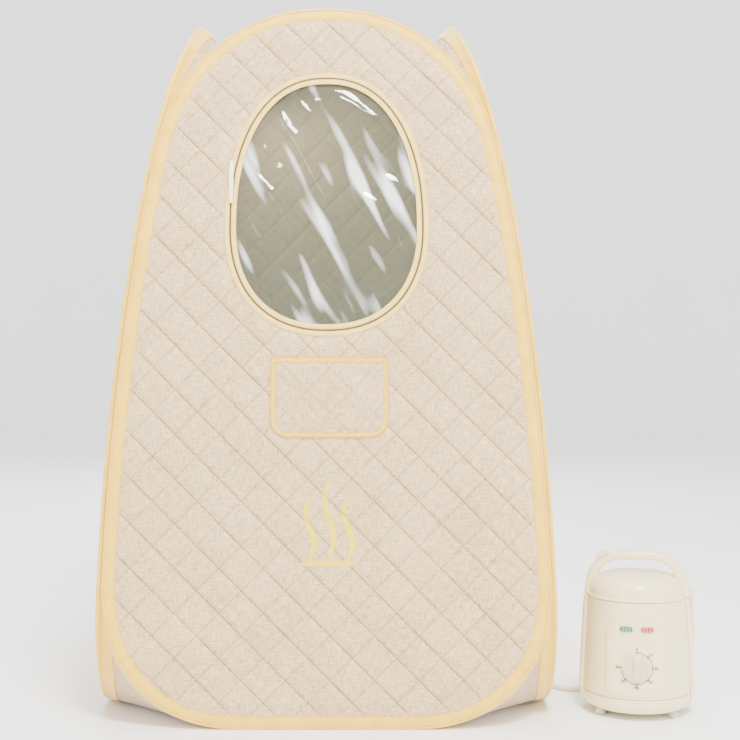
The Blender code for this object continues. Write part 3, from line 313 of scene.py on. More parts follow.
def rough(points, size, amount, seed=0.0):
    """A smooth random value at each point, with features of a size."""
    spots = np.asarray(points, dtype=float).reshape(-1, np.shape(points)[-1]) / size + seed
    if spots.shape[1] == 2:
        spots = np.column_stack([spots, np.full(len(spots), seed)])
    values = np.array([noise.noise(Vector(spot)) for spot in spots])
    return amount * values.reshape(np.shape(points)[:-1])


# ---- materials ----------------------------------------------------------------------------------
def new_material(name, colour, roughness, metallic=0.0):
    """A Principled material and its parts."""
    made = bpy.data.materials.new(name)
    made.use_nodes = True
    tree = made.node_tree
    shader = tree.nodes["Principled BSDF"]
    shader.inputs["Base Color"].default_value = (*colour, 1.0)
    shader.inputs["Roughness"].default_value = roughness
    shader.inputs["Metallic"].default_value = metallic
    return made, tree, shader


def add_node(tree, kind, inputs=None, **settings):
    """A node with some inputs set; an input may be a number, a tuple or another node's output."""
    made = tree.nodes.new(kind)
    for key, value in settings.items():
        setattr(made, key, value)
    for key, value in (inputs or {}).items():
        if isinstance(value, bpy.types.NodeSocket):
            tree.links.new(value, made.inputs[key])
        else:
            made.inputs[key].default_value = value
    return made


def math_node(tree, operation, first, second=0.0):
    """The output of one arithmetic node."""
    return add_node(tree, "ShaderNodeMath", {0: first, 1: second}, operation=operation).outputs[0]


def times(tree, first, second):
    """One value multiplied by another."""
    return math_node(tree, "MULTIPLY", first, second)


def plus(tree, first, second):
    """The sum of two values."""
    return math_node(tree, "ADD", first, second)


def minus(tree, first, second):
    """One value less another."""
    return math_node(tree, "SUBTRACT", first, second)


def noise_value(tree, vector, scale, detail=3.0, stretch=(1, 1, 1)):
    """A noise texture's value, stretched along an axis; scale is in features per metre."""
    spots = add_node(tree, "ShaderNodeMapping", {"Vector": vector, "Scale": stretch})
    return add_node(tree, "ShaderNodeTexNoise", {"Vector": spots.outputs[0], "Scale": scale,
                                                 "Detail": detail}).outputs["Fac"]


def ramp(tree, value, stops):
    """A colour ramp over (position, colour) stops."""
    made = add_node(tree, "ShaderNodeValToRGB", {"Fac": value})
    ends = made.color_ramp.elements
    while len(ends) < len(stops):
        ends.new(0.5)
    for end, (place, colour) in zip(ends, stops):
        end.position = place
        end.color = (*colour, 1.0)
    return made.outputs["Color"]


def mixed(tree, share, first, second):
    """One colour mixed with another."""
    made = add_node(tree, "ShaderNodeMix", data_type="RGBA")
    for socket, value in ((made.inputs[0], share), (made.inputs[6], first), (made.inputs[7], second)):
        if isinstance(value, bpy.types.NodeSocket):
            tree.links.new(value, socket)
        else:
            socket.default_value = value if isinstance(value, float) else (*value, 1.0)
    return made.outputs[2]


def set_bump(tree, shader, height, distance, strength=1.0):
    """Give a shader a bump of a height in metres."""
    bump = add_node(tree, "ShaderNodeBump", {"Height": height, "Distance": distance, "Strength": strength})
    tree.links.new(bump.outputs[0], shader.inputs["Normal"])


def map_coordinates(tree):
    """The UV map, which is in metres on every cloth piece."""
    return add_node(tree, "ShaderNodeUVMap", uv_map="UVMap").outputs[0]


def object_coordinates(tree):
    """A piece's own coordinates, in metres."""
    return add_node(tree, "ShaderNodeTexCoord").outputs["Object"]


def quilt_material(name, dark, light, stitched=True):
    """Heathered linen: slubs both ways in two shades, a fine weave, and rows of stitches."""
    made, tree, shader = new_material(name, light, 0.88)
    where = map_coordinates(tree)
    weft = noise_value(tree, where, 420.0, 4.0, (0.14, 1.0, 1.0))
    warp = noise_value(tree, where, 420.0, 4.0, (1.0, 0.14, 1.0))
    cloud = noise_value(tree, where, 9.0, 3.0)
    slubs = times(tree, plus(tree, weft, warp), 0.5)
    tone = plus(tree, slubs, times(tree, cloud, 0.16))
    middle = [(a + b) / 2 for a, b in zip(dark, light)]
    colour = ramp(tree, tone, ((0.42, dark), (0.57, middle), (0.70, light)))
    threads = times(tree, noise_value(tree, where, 1500.0, 1.0, (1.0, 0.45, 1.0)), 0.5)
    height = plus(tree, slubs, threads)
    if stitched:
        near_line = stitch_mask(tree, where)
        colour = mixed(tree, times(tree, near_line, 0.75), colour, [c * 0.50 for c in dark])
        height = minus(tree, height, times(tree, near_line, 1.2))
    tree.links.new(colour, shader.inputs["Base Color"])
    shader.inputs["Sheen Weight"].default_value = 0.25
    shader.inputs["Sheen Roughness"].default_value = 0.6
    shader.inputs["Specular IOR Level"].default_value = 0.2
    set_bump(tree, shader, height, 0.0011, 0.7)
    return made


def stitch_mask(tree, where):
    """1 on the thread of a stitch line and 0 off it."""
    parts = add_node(tree, "ShaderNodeSeparateXYZ", {"Vector": where}).outputs
    diagonals = []
    for sign, start in zip((-1.0, 1.0), QUILT_START):
        along = plus(tree, parts[0], times(tree, parts[1], sign))
        along = minus(tree, times(tree, along, math.sqrt(0.5)), start)
        diagonals.append(math_node(tree, "DIVIDE", along, QUILT_PITCH))
    masks = []
    for along, across in (diagonals, diagonals[::-1]):
        off = math_node(tree, "PINGPONG", across, 0.5)
        line = math_node(tree, "LESS_THAN", off, STITCH_HALF)
        step = math_node(tree, "FRACT", times(tree, along, STITCHES))
        dash = math_node(tree, "GREATER_THAN", step, STITCH_GAP)
        masks.append(times(tree, line, dash))
    return math_node(tree, "MAXIMUM", *masks)


def tape_material(name, colour, stitch_at=None):
    """Satin woven tape: fine cross ribs, a soft sheen and slow changes of tone along it."""
    made, tree, shader = new_material(name, colour, 0.50)
    where = map_coordinates(tree)
    parts = add_node(tree, "ShaderNodeSeparateXYZ", {"Vector": where}).outputs
    fine = noise_value(tree, where, 900.0, 2.0, (1.0, 0.12, 1.0))
    cloud = noise_value(tree, where, 26.0, 3.0, (1.0, 0.3, 1.0))
    tone = plus(tree, times(tree, fine, 0.45), times(tree, cloud, 0.55))
    shades = ramp(tree, tone, ((0.30, [c * 0.80 for c in colour]), (0.55, colour),
                               (0.78, [min(c * 1.10 + 0.02, 0.95) for c in colour])))
    height = plus(tree, times(tree, fine, 0.6), cloud)
    if stitch_at is not None:
        off = math_node(tree, "ABSOLUTE", minus(tree, parts[1], stitch_at))
        line = math_node(tree, "LESS_THAN", off, 0.00045)
        step = math_node(tree, "FRACT", times(tree, parts[0], 300.0))
        dash = math_node(tree, "GREATER_THAN", step, 0.3)
        stitch = times(tree, line, dash)
        shades = mixed(tree, times(tree, stitch, 0.6), shades, [c * 0.55 for c in colour])
        height = minus(tree, height, stitch)
    tree.links.new(shades, shader.inputs["Base Color"])
    shader.inputs["Sheen Weight"].default_value = 0.35
    shader.inputs["Specular IOR Level"].default_value = 0.35
    set_bump(tree, shader, height, 0.0007, 0.6)
    return made


def moulded_material(name, colour, roughness=0.30, coat=0.35, grain=0.00004):
    """Pearl moulded plastic: a faint mottle, a fine skin and a thin clear coat."""
    made, tree, shader = new_material(name, colour, roughness)
    where = object_coordinates(tree)
    mottle = noise_value(tree, where, 55.0, 4.0)
    shades = ramp(tree, mottle, ((0.30, [c * 0.965 for c in colour]),
                                 (0.70, [min(c * 1.02, 1.0) for c in colour])))
    tree.links.new(shades, shader.inputs["Base Color"])
    skin = noise_value(tree, where, 2600.0, 2.0)
    tree.links.new(plus(tree, times(tree, skin, 0.14), roughness - 0.07),
                   shader.inputs["Roughness"])
    shader.inputs["Coat Weight"].default_value = coat
    shader.inputs["Coat Roughness"].default_value = 0.16
    set_bump(tree, shader, skin, grain, 1.0)
    return made


def film_material():
    """Soft clear film: a grey-green tint with painted highlight streaks that lean, where the film is whiter
    and less clear.
    """
    tint, painted_highlight = (0.11, 0.12, 0.07), (0.95, 0.95, 0.92)
    made, tree, shader = new_material("film", tint, 0.07)
    where = map_coordinates(tree)
    lean = (0, 0, math.radians(-27))
    leaning = add_node(tree, "ShaderNodeMapping", {"Vector": where, "Rotation": lean}).outputs[0]
    streak_noise = noise_value(tree, leaning, 17.0, 1.2, (1.6, 0.30, 1.0))
    # Painted highlights: where the leaning noise is high, the film turns white and more opaque, in place of
    # the lights' reflections in its creases.
    highlight_mask = ramp(tree, streak_noise, ((0.575, (0.0, 0.0, 0.0)), (0.70, (1.0, 1.0, 1.0))))
    tree.links.new(mixed(tree, highlight_mask, tint, painted_highlight), shader.inputs["Base Color"])
    alpha = plus(tree, times(tree, highlight_mask, 0.26), 0.44)
    tree.links.new(alpha, shader.inputs["Alpha"])
    shader.inputs["Coat Weight"].default_value = 1.0
    shader.inputs["Coat Roughness"].default_value = 0.05
    set_bump(tree, shader, streak_noise, 0.0030, 0.3)
    return made


def metal_material(name, colour, roughness):
    """Drawn steel with fine scratches along one way."""
    made, tree, shader = new_material(name, colour, roughness, 1.0)
    where = object_coordinates(tree)
    scratches = noise_value(tree, where, 320.0, 4.0, (1.0, 1.0, 0.05))
    tree.links.new(plus(tree, times(tree, scratches, 0.25), roughness - 0.12),
                   shader.inputs["Roughness"])
    set_bump(tree, shader, scratches, 0.00008, 0.6)
    return made


def lamp_material(name, colour):
    """A ribbed lens: slanting bars of colour with pale gaps between them."""
    made, tree, shader = new_material(name, colour, 0.18)
    parts = add_node(tree, "ShaderNodeSeparateXYZ", {"Vector": map_coordinates(tree)}).outputs
    slant = plus(tree, parts[0], times(tree, parts[1], 0.32))
    stripe = math_node(tree, "FRACT", plus(tree, times(tree, slant, 165.0), 0.5))
    pale = math_node(tree, "LESS_THAN", math_node(tree, "ABSOLUTE", minus(tree, stripe, 0.5)), 0.055)
    tree.links.new(mixed(tree, pale, colour, (0.72, 0.70, 0.55)), shader.inputs["Base Color"])
    shader.inputs["Coat Weight"].default_value = 0.8
    set_bump(tree, shader, pale, 0.0003, 0.8)
    return made


# ---- outlines and the tent's surfaces -----------------------------------------------------------
def reach(z):
    """Distance of a panel's outer surface from the tent's axis at a height."""
    z = np.asarray(z, dtype=float)
    return HALF_BASE - LEAN * z ** 2 - TOP_LEAN * np.maximum(z, 0.0) ** 8


def on_panel(side, u, z, depth):
    """Points on panel 0 front, 1 right, 2 back or 3 left: u across it, depth in from its face."""
    u, z, depth = np.broadcast_arrays(np.asarray(u, float), np.asarray(z, float), np.asarray(depth, float))
    x, y = u, depth - reach(z)
    for _ in range(side):
        x, y = -y, x
    return np.stack([x, y, z], axis=-1)


def hoop_edge(z):
    """Half width of a hoop at a height."""
    return reach(z) - SLEEVE_DEPTH - GAP


def hoop_half():
    """Right half of a hoop's outer edge, as three stretches: bottom corner, side and top arch."""
    bend = np.radians(np.linspace(90, 0, 31))
    across, down = np.abs(np.cos(bend)) ** (2 / CORNER_POWER), np.sin(bend) ** (2 / CORNER_POWER)
    corner = np.stack([FLAT_HALF + (hoop_edge(CORNER_TOP) - FLAT_HALF) * across,
                       CORNER_TOP * (1 - down)], axis=-1)
    levels = np.linspace(CORNER_TOP, ARCH_START, 41)[1:-1]
    bend = np.radians(np.linspace(0, 90, 61))
    z = ARCH_START + (HEIGHT - ARCH_START) * np.sin(bend) ** (2 / ARCH_RISE_POWER)
    arch = np.stack([hoop_edge(z) * np.abs(np.cos(bend)) ** (2 / ARCH_ACROSS_POWER), z], axis=-1)
    return corner, np.stack([hoop_edge(levels), levels], axis=-1), arch


def mirrored(half, repeat_top=False):
    """A right half outline followed by its left half, once round."""
    left = half[::-1] * (-1, 1)
    return np.vstack([half, left if repeat_top else left[1:]])


def egg(shape, inset, count=260):
    """An egg outline drawn in by an inset, evenly spaced."""
    bend = np.radians(np.linspace(-90, 90, 181))
    rise = np.copysign(np.abs(np.sin(bend)) ** (2 / shape["power"]), bend)
    high = np.where(bend > 0, shape["up"], shape["down"])
    across = np.abs(np.cos(bend)) ** (2 / shape["power"])
    half = np.stack([shape["half"] * across, shape["level"] + high * rise], axis=-1)
    loop = resampled(mirrored(half)[:-1], count, closed=True)
    return loop + inward(loop) * inset


CORNER_ARC, SIDE_LINE, ARCH = hoop_half()
HOOP = resampled(mirrored(np.vstack([CORNER_ARC, SIDE_LINE, ARCH])), 440, closed=True)


def outline_area(loop):
    """Area inside a closed outline."""
    after = np.roll(loop, -1, axis=0)
    return abs(float(np.sum(loop[:, 0] * after[:, 1] - after[:, 0] * loop[:, 1]))) / 2


def inset_of(points, loop):
    """How far each point lies inside an anticlockwise outline, and the outline's nearest point to it."""
    nearest = np.concatenate([np.argmin(((part[:, None] - loop) ** 2).sum(-1), axis=1)
                              for part in np.array_split(points, len(points) // 4000 + 1)])
    normal = inward(loop)[nearest]
    offset = points - loop[nearest]
    distance = (offset * normal).sum(-1)
    along = np.stack([normal[:, 1], -normal[:, 0]], axis=-1)
    slide = np.clip((offset * along).sum(-1), -0.02, 0.02)
    return distance, loop[nearest] + along * slide[:, None]


def quilt_rise(u, z):
    """Height of the padding at a place on a panel: nothing on its stitch lines, full between them."""
    spots = np.stack([u, z], axis=-1)
    cells = [((u + sign * z) * math.sqrt(0.5) - start) / QUILT_PITCH
             for sign, start in zip((-1, 1), QUILT_START)]
    off = [np.abs(2 * (c - np.floor(c)) - 1) for c in cells]
    humps = [1 - o ** power for o, power in zip(off, (5.0, 6.0))]
    body = humps[1] ** 0.7 * (0.52 + 0.48 * humps[0] ** 0.8)
    pleats = np.cos(cells[0] * 44.0 + rough(spots, 0.030, 7.0)) * np.exp(-7.0 * (1 - off[1])) * humps[1]
    return QUILT_RISE * (body * (1 + rough(spots, 0.055, 0.40)) + 0.16 * pleats)


def fade(distance, width):
    """0 at an edge, 1 from a width inside it."""
    t = np.clip(distance / width, 0, 1)
    return t * t * (3 - 2 * t)


def closed_sheet(name, front, back, faces, uv):
    """A closed sheet from a front and a back surface over the same faces, joined round every edge."""
    count = len(front)
    edges = np.concatenate([faces[:, [k, (k + 1) % 4]] for k in range(4)])
    keys, reverse = edges[:, 0] * count + edges[:, 1], edges[:, 1] * count + edges[:, 0]
    rim = edges[~np.isin(keys, reverse) & (edges[:, 0] != edges[:, 1])]
    sides = np.column_stack([rim[:, 1], rim[:, 0], rim[:, 0] + count, rim[:, 1] + count])
    everything = np.vstack([faces, faces[:, ::-1] + count, sides])
    both = np.vstack([uv, uv])
    return mesh_from(name, np.vstack([front, back]), everything, both[everything])


def grid_sheet(name, front, back, uv, order=(0, 1, 2, 3)):
    """A closed sheet between two grids of points."""
    faces = grid_faces(*front.shape[:2], order)
    return closed_sheet(name, front.reshape(-1, 3), back.reshape(-1, 3), faces, uv.reshape(-1, 2))


def clipped_lines(inside, holes, a_lines, b_lines, turned=True):
    """A grid, diagonal if turned, cut to an outline and to holes: points, faces, distance from the edges."""
    points = pairs(a_lines, b_lines).reshape(-1, 2)
    if turned:
        points = np.stack([points.sum(-1), points[:, 1] - points[:, 0]], axis=-1) * math.sqrt(0.5)
    faces = grid_faces(len(a_lines), len(b_lines), (1, 2, 3, 0) if turned else (0, 1, 2, 3))
    valid = np.ones(len(points), dtype=bool)
    nearest_edge = np.full(len(points), 9.0)
    for loop, sign in [(inside, 1)] + [(hole, -1) for hole in holes]:
        distance, nearest = inset_of(points, loop)
        bad = distance * sign < 0
        points = np.where(bad[:, None], nearest, points)
        valid &= ~bad
        nearest_edge = np.minimum(nearest_edge, np.where(bad, 0.0, distance * sign))
    return points, faces[valid[faces].any(axis=1)], nearest_edge


def quilt_lines(low, high, start):
    """Grid lines that fall on the stitch lines and crowd beside them."""
    first, last = math.floor((low - start) / QUILT_PITCH), math.ceil((high - start) / QUILT_PITCH)
    return np.array([start + QUILT_PITCH * (cell + step)
                     for cell in range(first, last) for step in QUILT_STEPS])


def outer_depth(side, u, z):
    """Depth of a panel's quilted outer face, which lies flat round its edges and under what is sewn on."""
    points = np.stack([u, z], axis=-1).reshape(-1, 2)
    ease = fade(inset_of(points, HOOP)[0] - SLEEVE_WIDTH + 0.006, 0.018)
    slack = fade(inset_of(points, HOOP)[0] - SLEEVE_WIDTH, 0.16)
    for panel, loop in ((0, egg(WINDOW, 0.0)), (3, egg(DOOR, 0.0)), (0, POCKET_LOOP)):
        if panel == side:
            away = -inset_of(points, loop)[0]
            if side == 3:
                away = np.where(away < 0, -away - 2 * TAPE - ZIP, away)
            ease *= fade(away + 0.003, 0.016)
            slack *= fade(away, 0.08)
    lift = quilt_rise(points[:, 0], points[:, 1]) * ease + rough(points, 0.16, 0.0030, side + 2.0) * slack
    return (PANEL_NEAR - lift).reshape(np.shape(u))


def quilted(name, side, inside, holes, material, body="root", replaces=()):
    """A padded, quilted panel cut to an outline on one side of the tent."""
    low, high = inside.min(0), inside.max(0)
    corners = [((u - z) * math.sqrt(0.5), (u + z) * math.sqrt(0.5))
               for u in (low[0], high[0]) for z in (low[1], high[1])]
    lines = [quilt_lines(min(c[k] for c in corners), max(c[k] for c in corners), QUILT_START[k])
             for k in (0, 1)]
    points, faces, _ = clipped_lines(inside, holes, *lines)
    u, z = points.T
    depth = outer_depth(side, u, z)
    back = PANEL_FAR + 0.7 * (PANEL_NEAR - depth)
    mesh = closed_sheet(name, on_panel(side, u, z, depth), on_panel(side, u, z, back), faces, points)
    return piece(name, mesh, material, body, replaces, sharp=75)


def band(name, side, loop, section, material, body="root", replaces=(), ripple=0.0):
    """A closed tape round an outline; its section is (inset, depth) points, once round."""
    section = np.array(section)
    normals = inward(loop)
    u = loop[:, None, 0] + normals[:, None, 0] * section[:, 0]
    z = loop[:, None, 1] + normals[:, None, 1] * section[:, 0]
    depth = np.broadcast_to(section[:, 1], u.shape)
    if ripple:
        depth = depth + rough(np.stack([u, z], axis=-1), 0.022, ripple, side * 3.0)
    along = np.append(lengths(loop, True), 0)[:len(loop) + 1]
    walked = lengths(section, True)
    uv = pairs(along, walked)
    points = on_panel(side, u, z, depth)
    mesh = grid_mesh(name, points, uv, True, True, flip=True)
    return piece(name, mesh, material, body, replaces, sharp=60)


def tape_section(start, width, near, thick):
    """Section of a narrow woven tape lying on a surface: slightly domed, with two rows of stitches."""
    shape = [(0.0, 0.55), (0.03, 0.15), (0.12, 0.04), (0.19, 0.30), (0.27, 0.02), (0.50, 0.0),
             (0.73, 0.02), (0.81, 0.30), (0.88, 0.04), (0.97, 0.15), (1.0, 0.55), (0.97, 1.0), (0.03, 1.0)]
    return [(start + width * a, near + thick * d) for a, d in shape]


# ---- the tent's cloth ---------------------------------------------------------------------------
SLEEVE_SECTION = [
    (0.0260, 0.0032), (0.0258, 0.0010), (0.0248, 0.0002), (0.0236, 0.0004), (0.0226, 0.0011),
    (0.0216, 0.0003), (0.0190, -0.0004), (0.0140, -0.0008), (0.0090, -0.0005), (0.0064, 0.0002),
    (0.0052, 0.0013), (0.0046, 0.0006), (0.0036, -0.0008), (0.0024, -0.0006), (0.0010, 0.0008),
    (0.0000, 0.0026), (-0.0003, 0.0045), (0.0000, 0.0064), (0.0012, 0.0084), (0.0036, 0.0094),
    (0.0140, 0.0098), (0.0220, 0.0094), (0.0248, 0.0086), (0.0258, 0.0076), (0.0260, 0.0060)]


def pocket_outline():
    """The pocket's edge: square corners at its top and round ones at its bottom."""
    bend = np.radians(np.linspace(-90, 0, 13))
    low = np.stack([POCKET_HALF - POCKET_CORNER * (1 - np.cos(bend)),
                    POCKET_LOW + POCKET_CORNER * (1 + np.sin(bend))], axis=-1)
    nick = 0.004
    top = np.array([(POCKET_HALF, POCKET_HIGH - nick), (POCKET_HALF - nick, POCKET_HIGH), (0.0, POCKET_HIGH)])
    half = np.vstack([low, top])
    return resampled(mirrored(half), 240, closed=True) + (POCKET_CENTRE, 0.0)


POCKET_LOOP = pocket_outline()


def build_panels(quilt):
    """The four quilted panels, with the window's, door's and port's holes."""
    inside = HOOP + inward(HOOP) * 0.008
    bend = np.linspace(0, math.tau, 48, endpoint=False)
    port = PORT_PLACE + PORT_HOLE * np.stack([np.cos(bend), np.sin(bend)], axis=-1)
    holes = {0: [egg(WINDOW, 0.007)], 1: [port], 2: [], 3: [egg(DOOR, 0.007)]}
    flat = (2 * float(HOOP[:, 0].max()), HEIGHT)
    panels = []
    for side, name in enumerate(SIDES):
        panel = quilted(name + "_quilt", side, inside, holes[side], quilt, replaces=(name + "_panel",))
        cut = outline_area(inside) - sum(outline_area(hole) for hole in holes[side])
        panels.append((panel, flat, cut))
    return panels


def build_sleeves(tape):
    """The folded binding round each panel, with a piping ridge near its edge and a row of stitches."""
    return [band(name + "_sleeve", side, HOOP, SLEEVE_SECTION, tape, replaces=(name + "_hoop_sleeve",),
                 ripple=0.0011) for side, name in enumerate(SIDES)]


def arch_line(side, inset, depth, count):
    """Evenly spaced points along one side's whole top arch, from its right end to its left."""
    loop = mirrored(ARCH)
    along = np.gradient(loop, axis=0)
    along /= np.linalg.norm(along, axis=1)[:, None]
    moved = loop + np.stack([-along[:, 1], along[:, 0]], axis=-1) * inset
    return resampled(on_panel(side, moved[:, 0], moved[:, 1], depth), count)


def roof_membrane(count=33, fine=4):
    """The roof cloth's surface before it drops: a membrane between the four arches, then a finer grid."""
    front, right, back, left = (arch_line(side, 0.003, CLOTH_DEPTH, count) for side in range(4))
    grid = np.zeros((count, count, 3))
    grid[:, 0], grid[-1, :], grid[:, -1], grid[0, :] = front[::-1], right[::-1], back, left
    ramp_in = np.linspace(0, 1, count)[:, None, None]
    grid[1:-1, 1:-1] = (grid[:1] * (1 - ramp_in) + grid[-1:] * ramp_in)[1:-1, 1:-1]
    for _ in range(2600):
        grid[1:-1, 1:-1] = (grid[2:, 1:-1] + grid[:-2, 1:-1] + grid[1:-1, 2:] + grid[1:-1, :-2]) / 4
    places = np.linspace(0, count - 1, (count - 1) * fine + 1)
    cell = np.minimum(places.astype(int), count - 2)
    part = (places - cell)[:, None, None]
    grid = grid[cell] * (1 - part) + grid[cell + 1] * part
    grid = np.swapaxes(grid, 0, 1)
    grid = grid[cell] * (1 - part) + grid[cell + 1] * part
    return np.swapaxes(grid, 0, 1)


def roof_surface(grid):
    """The roof cloth's top, dropped inside the arches and padded between its stitch lines, and its UVs."""
    size = grid.shape[0]
    place = np.linspace(-1, 1, size)
    s, t = np.meshgrid(place, place, indexing="ij")
    gap = (1 - np.abs(s)) * (1 - np.abs(t)) * 0.27
    drop = ROOF_SAG * (1 - np.exp(-np.maximum(gap - ROOF_FLAT_EDGE, 0) / ROOF_SAG_WIDTH))
    padding = quilt_rise(s * ROOF_HALF, t * ROOF_HALF) * fade(gap, 0.012)
    points = grid.copy()
    points[..., 2] += padding - drop
    return points, np.stack([s, t], axis=-1) * ROOF_HALF


def normals_of(points):
    """Unit normals of a grid of points."""
    normal = np.cross(np.gradient(points, axis=0), np.gradient(points, axis=1))
    return normal / np.maximum(np.linalg.norm(normal, axis=-1), 1e-9)[..., None]


def thickened(name, points, uv, thick, material, lift=0.0, replaces=()):
    """A closed sheet of a thickness over an open grid of points, raised along its normals by a lift."""
    normal = normals_of(points)
    if normal[..., 2].sum() < 0:
        points, uv, normal = points[::-1], uv[::-1], -normal[::-1]
    mesh = grid_sheet(name, points + normal * lift, points + normal * (lift - thick), uv)
    return piece(name, mesh, material, replaces=replaces, sharp=60)


def build_roof(quilt, tape):
    """The quilted roof cloth between the four arches, and the binding's second leg along each arch."""
    points, uv = roof_surface(roof_membrane())
    roof = thickened("roof_quilt", points, uv, ROOF_THICK, quilt, replaces=("roof_cloth",))
    strips = []
    for side, name in enumerate(SIDES):
        line = lengths_in(np.rot90(points, -side), LEG_STEPS)
        strip_uv = pairs(lengths(line[:, 0]), LEG_STEPS)
        strips.append(thickened(name + "_arch_binding", line, strip_uv, LEG_THICK, tape,
                                lift=LEG_THICK))
    return roof, strips


def lengths_in(grid, distances):
    """For each row of a grid, points at distances walked from its first column."""
    out = np.zeros((len(grid), len(distances), 3))
    for i, row in enumerate(grid):
        walked = lengths(row)
        reach_in = np.minimum(distances, walked[-1] * 0.5 * np.linspace(0.98, 1, len(distances)))
        for k in range(3):
            out[i, :, k] = np.interp(reach_in, walked, row[:, k])
    return out


def build_floor(lining, tape):
    """The floor cloth, the cloth that closes each bottom corner, and the binding's second leg there."""
    arc = resampled(CORNER_ARC, 40)
    across = np.linspace(0, 1, 25)[:, None]
    meshes, strips = [], []
    for side, name in enumerate(SIDES):
        start = on_panel(side, arc[:, 0], arc[:, 1], CLOTH_DEPTH)
        end = on_panel((side + 1) % 4, -arc[:, 0], arc[:, 1], CLOTH_DEPTH)
        grid = start[:, None] * (1 - across) + end[:, None] * across
        outward = grid[:, :, :2] / np.linalg.norm(grid[:, :, :2], axis=-1)[..., None]
        swell = 4 * across[:, 0] * (1 - across[:, 0]) * np.sin(np.linspace(0, math.pi, len(arc)))[:, None]
        grid[:, :, :2] -= outward * (swell * 0.012)[..., None]
        width = np.linalg.norm(end - start, axis=-1)
        place = (across[:, 0] - 0.5) * width[:, None]
        uv = np.stack([place, np.broadcast_to(lengths(arc)[:, None], place.shape)], axis=-1)
        meshes.append((grid, uv))
        for end_name, rows in (("left", grid), ("right", grid[:, ::-1])):
            line = lengths_in(rows, LEG_STEPS)
            strips.append(corner_strip(name + "_corner_binding_" + end_name, line, tape))
    cloth = piece("floor_lining", floor_mesh(meshes), lining, replaces=("floor_cloth",), sharp=60)
    return cloth, strips


def facing_out(grid):
    """A grid's normals turned away from the tent's axis, and how its faces take their corners there."""
    normal = normals_of(grid)
    if (normal * grid * (1, 1, 0)).sum() < 0:
        return -normal, (3, 2, 1, 0)
    return normal, (0, 1, 2, 3)


def corner_strip(name, line, tape):
    """A strip of binding that lies on a bottom corner's cloth."""
    normal, order = facing_out(line)
    top = line + normal * LEG_THICK
    top[..., 2] = np.maximum(top[..., 2], 0.0002)
    mesh = grid_sheet(name, top, line, pairs(lengths(line[:, 0]), LEG_STEPS), order)
    return piece(name, mesh, tape, sharp=60)


def floor_mesh(corners):
    """One mesh: a closed sheet for each bottom corner, and one for the flat floor between them."""
    parts = []
    for grid, uv in corners:
        normal, order = facing_out(grid)
        low = grid - normal * FLOOR_THICK
        low[..., 2] = np.maximum(low[..., 2], 0.0)
        parts.append(grid_sheet("corner", grid, low, uv, order))
    inside = HALF_BASE - SLEEVE_DEPTH
    ring = [on_panel(side, u, 0.0, CLOTH_DEPTH) for side in range(4) for u in (-FLAT_HALF, FLAT_HALF)]
    ring = resampled(np.array(ring)[:, :2], 160, closed=True)
    lines = np.linspace(-inside, inside, 61)
    points, faces, _ = clipped_lines(ring, [], lines, lines, turned=False)
    wrinkle = rough(points, 0.11, 0.0016) + 0.0024
    wrinkle *= fade(inset_of(points, ring)[0], 0.03)
    top = np.column_stack([points, wrinkle + FLOOR_THICK])
    low = np.column_stack([points, wrinkle])
    parts.append(closed_sheet("floor", top, low, faces, points))
    return join_meshes("floor_lining", parts)


# ---- window, door, pocket and emblem ------------------------------------------------------------
def teeth(prefix, side, shape, material, shade_material):
    """A coil zip round an egg outline: small teeth that reach from each side in turn, on a dark band of
    painted shade.
    """
    loop = resampled(egg(shape, TAPE + ZIP / 2), 2000, closed=True)
    count = 2 * round(lengths(loop, True)[-1] / TOOTH_PITCH / 2)
    loop = resampled(loop, count, closed=True)
    normal = inward(loop)
    along = np.stack([normal[:, 1], -normal[:, 0]], axis=-1)
    shift = np.where(np.arange(count) % 2, TOOTH_SHIFT, -TOOTH_SHIFT)
    points = []
    for depth, taper in ((0.0006, 1.0), (-0.0016, 0.78)):
        for a, b in ((-1, -1), (1, -1), (1, 1), (-1, 1)):
            out = (b * TOOTH_HALF * taper + shift)[:, None]
            spot = loop + along * (a * TOOTH_PITCH * 0.30 * taper) + normal * out
            points.append(on_panel(side, spot[:, 0], spot[:, 1], np.full(count, depth)))
    points = np.stack(points, axis=1).reshape(-1, 3)
    quads = np.array([(0, 1, 2, 3), (4, 7, 6, 5), (0, 4, 5, 1), (1, 5, 6, 2), (2, 6, 7, 3), (3, 7, 4, 0)])
    faces = (np.arange(count)[:, None, None] * 8 + quads).reshape(-1, 4)
    mesh = cleaned(mesh_from(prefix + "_teeth", points, faces, np.zeros((len(faces), 4, 2))))
    piece(prefix + "_coil_teeth", mesh, material, replaces=(prefix + "_zip_teeth",), sharp=30)
    # Painted shade: the dark band behind the teeth stands in for the shadow in the gap between the zip's
    # tapes.
    band(prefix + "_zip_shade_tape", side, egg(shape, 0), tape_section(TAPE - 0.0004, ZIP + 0.0008, 0.0009, 0.0007),
         shade_material)


def build_opening(prefix, side, shape, looks):
    """The zip round an opening: fixed tape, teeth and the flap's binding, which turns with the flap."""
    loop = egg(shape, 0.0, 420)
    near, thick = -0.0010, 0.0026
    band(prefix + "_tape", side, loop, tape_section(0.0, TAPE, near, thick), looks["tape"],
         replaces=(prefix + "_zip_tape",), ripple=0.0004)
    teeth(prefix, side, shape, looks["zip"], looks["zip_shade_tape"])
    return band(prefix + "_flap_tape", side, loop, tape_section(TAPE + ZIP, TAPE, near, thick),
                looks["tape"], prefix + "_flap", (prefix + "_flap_binding",), ripple=0.0004)


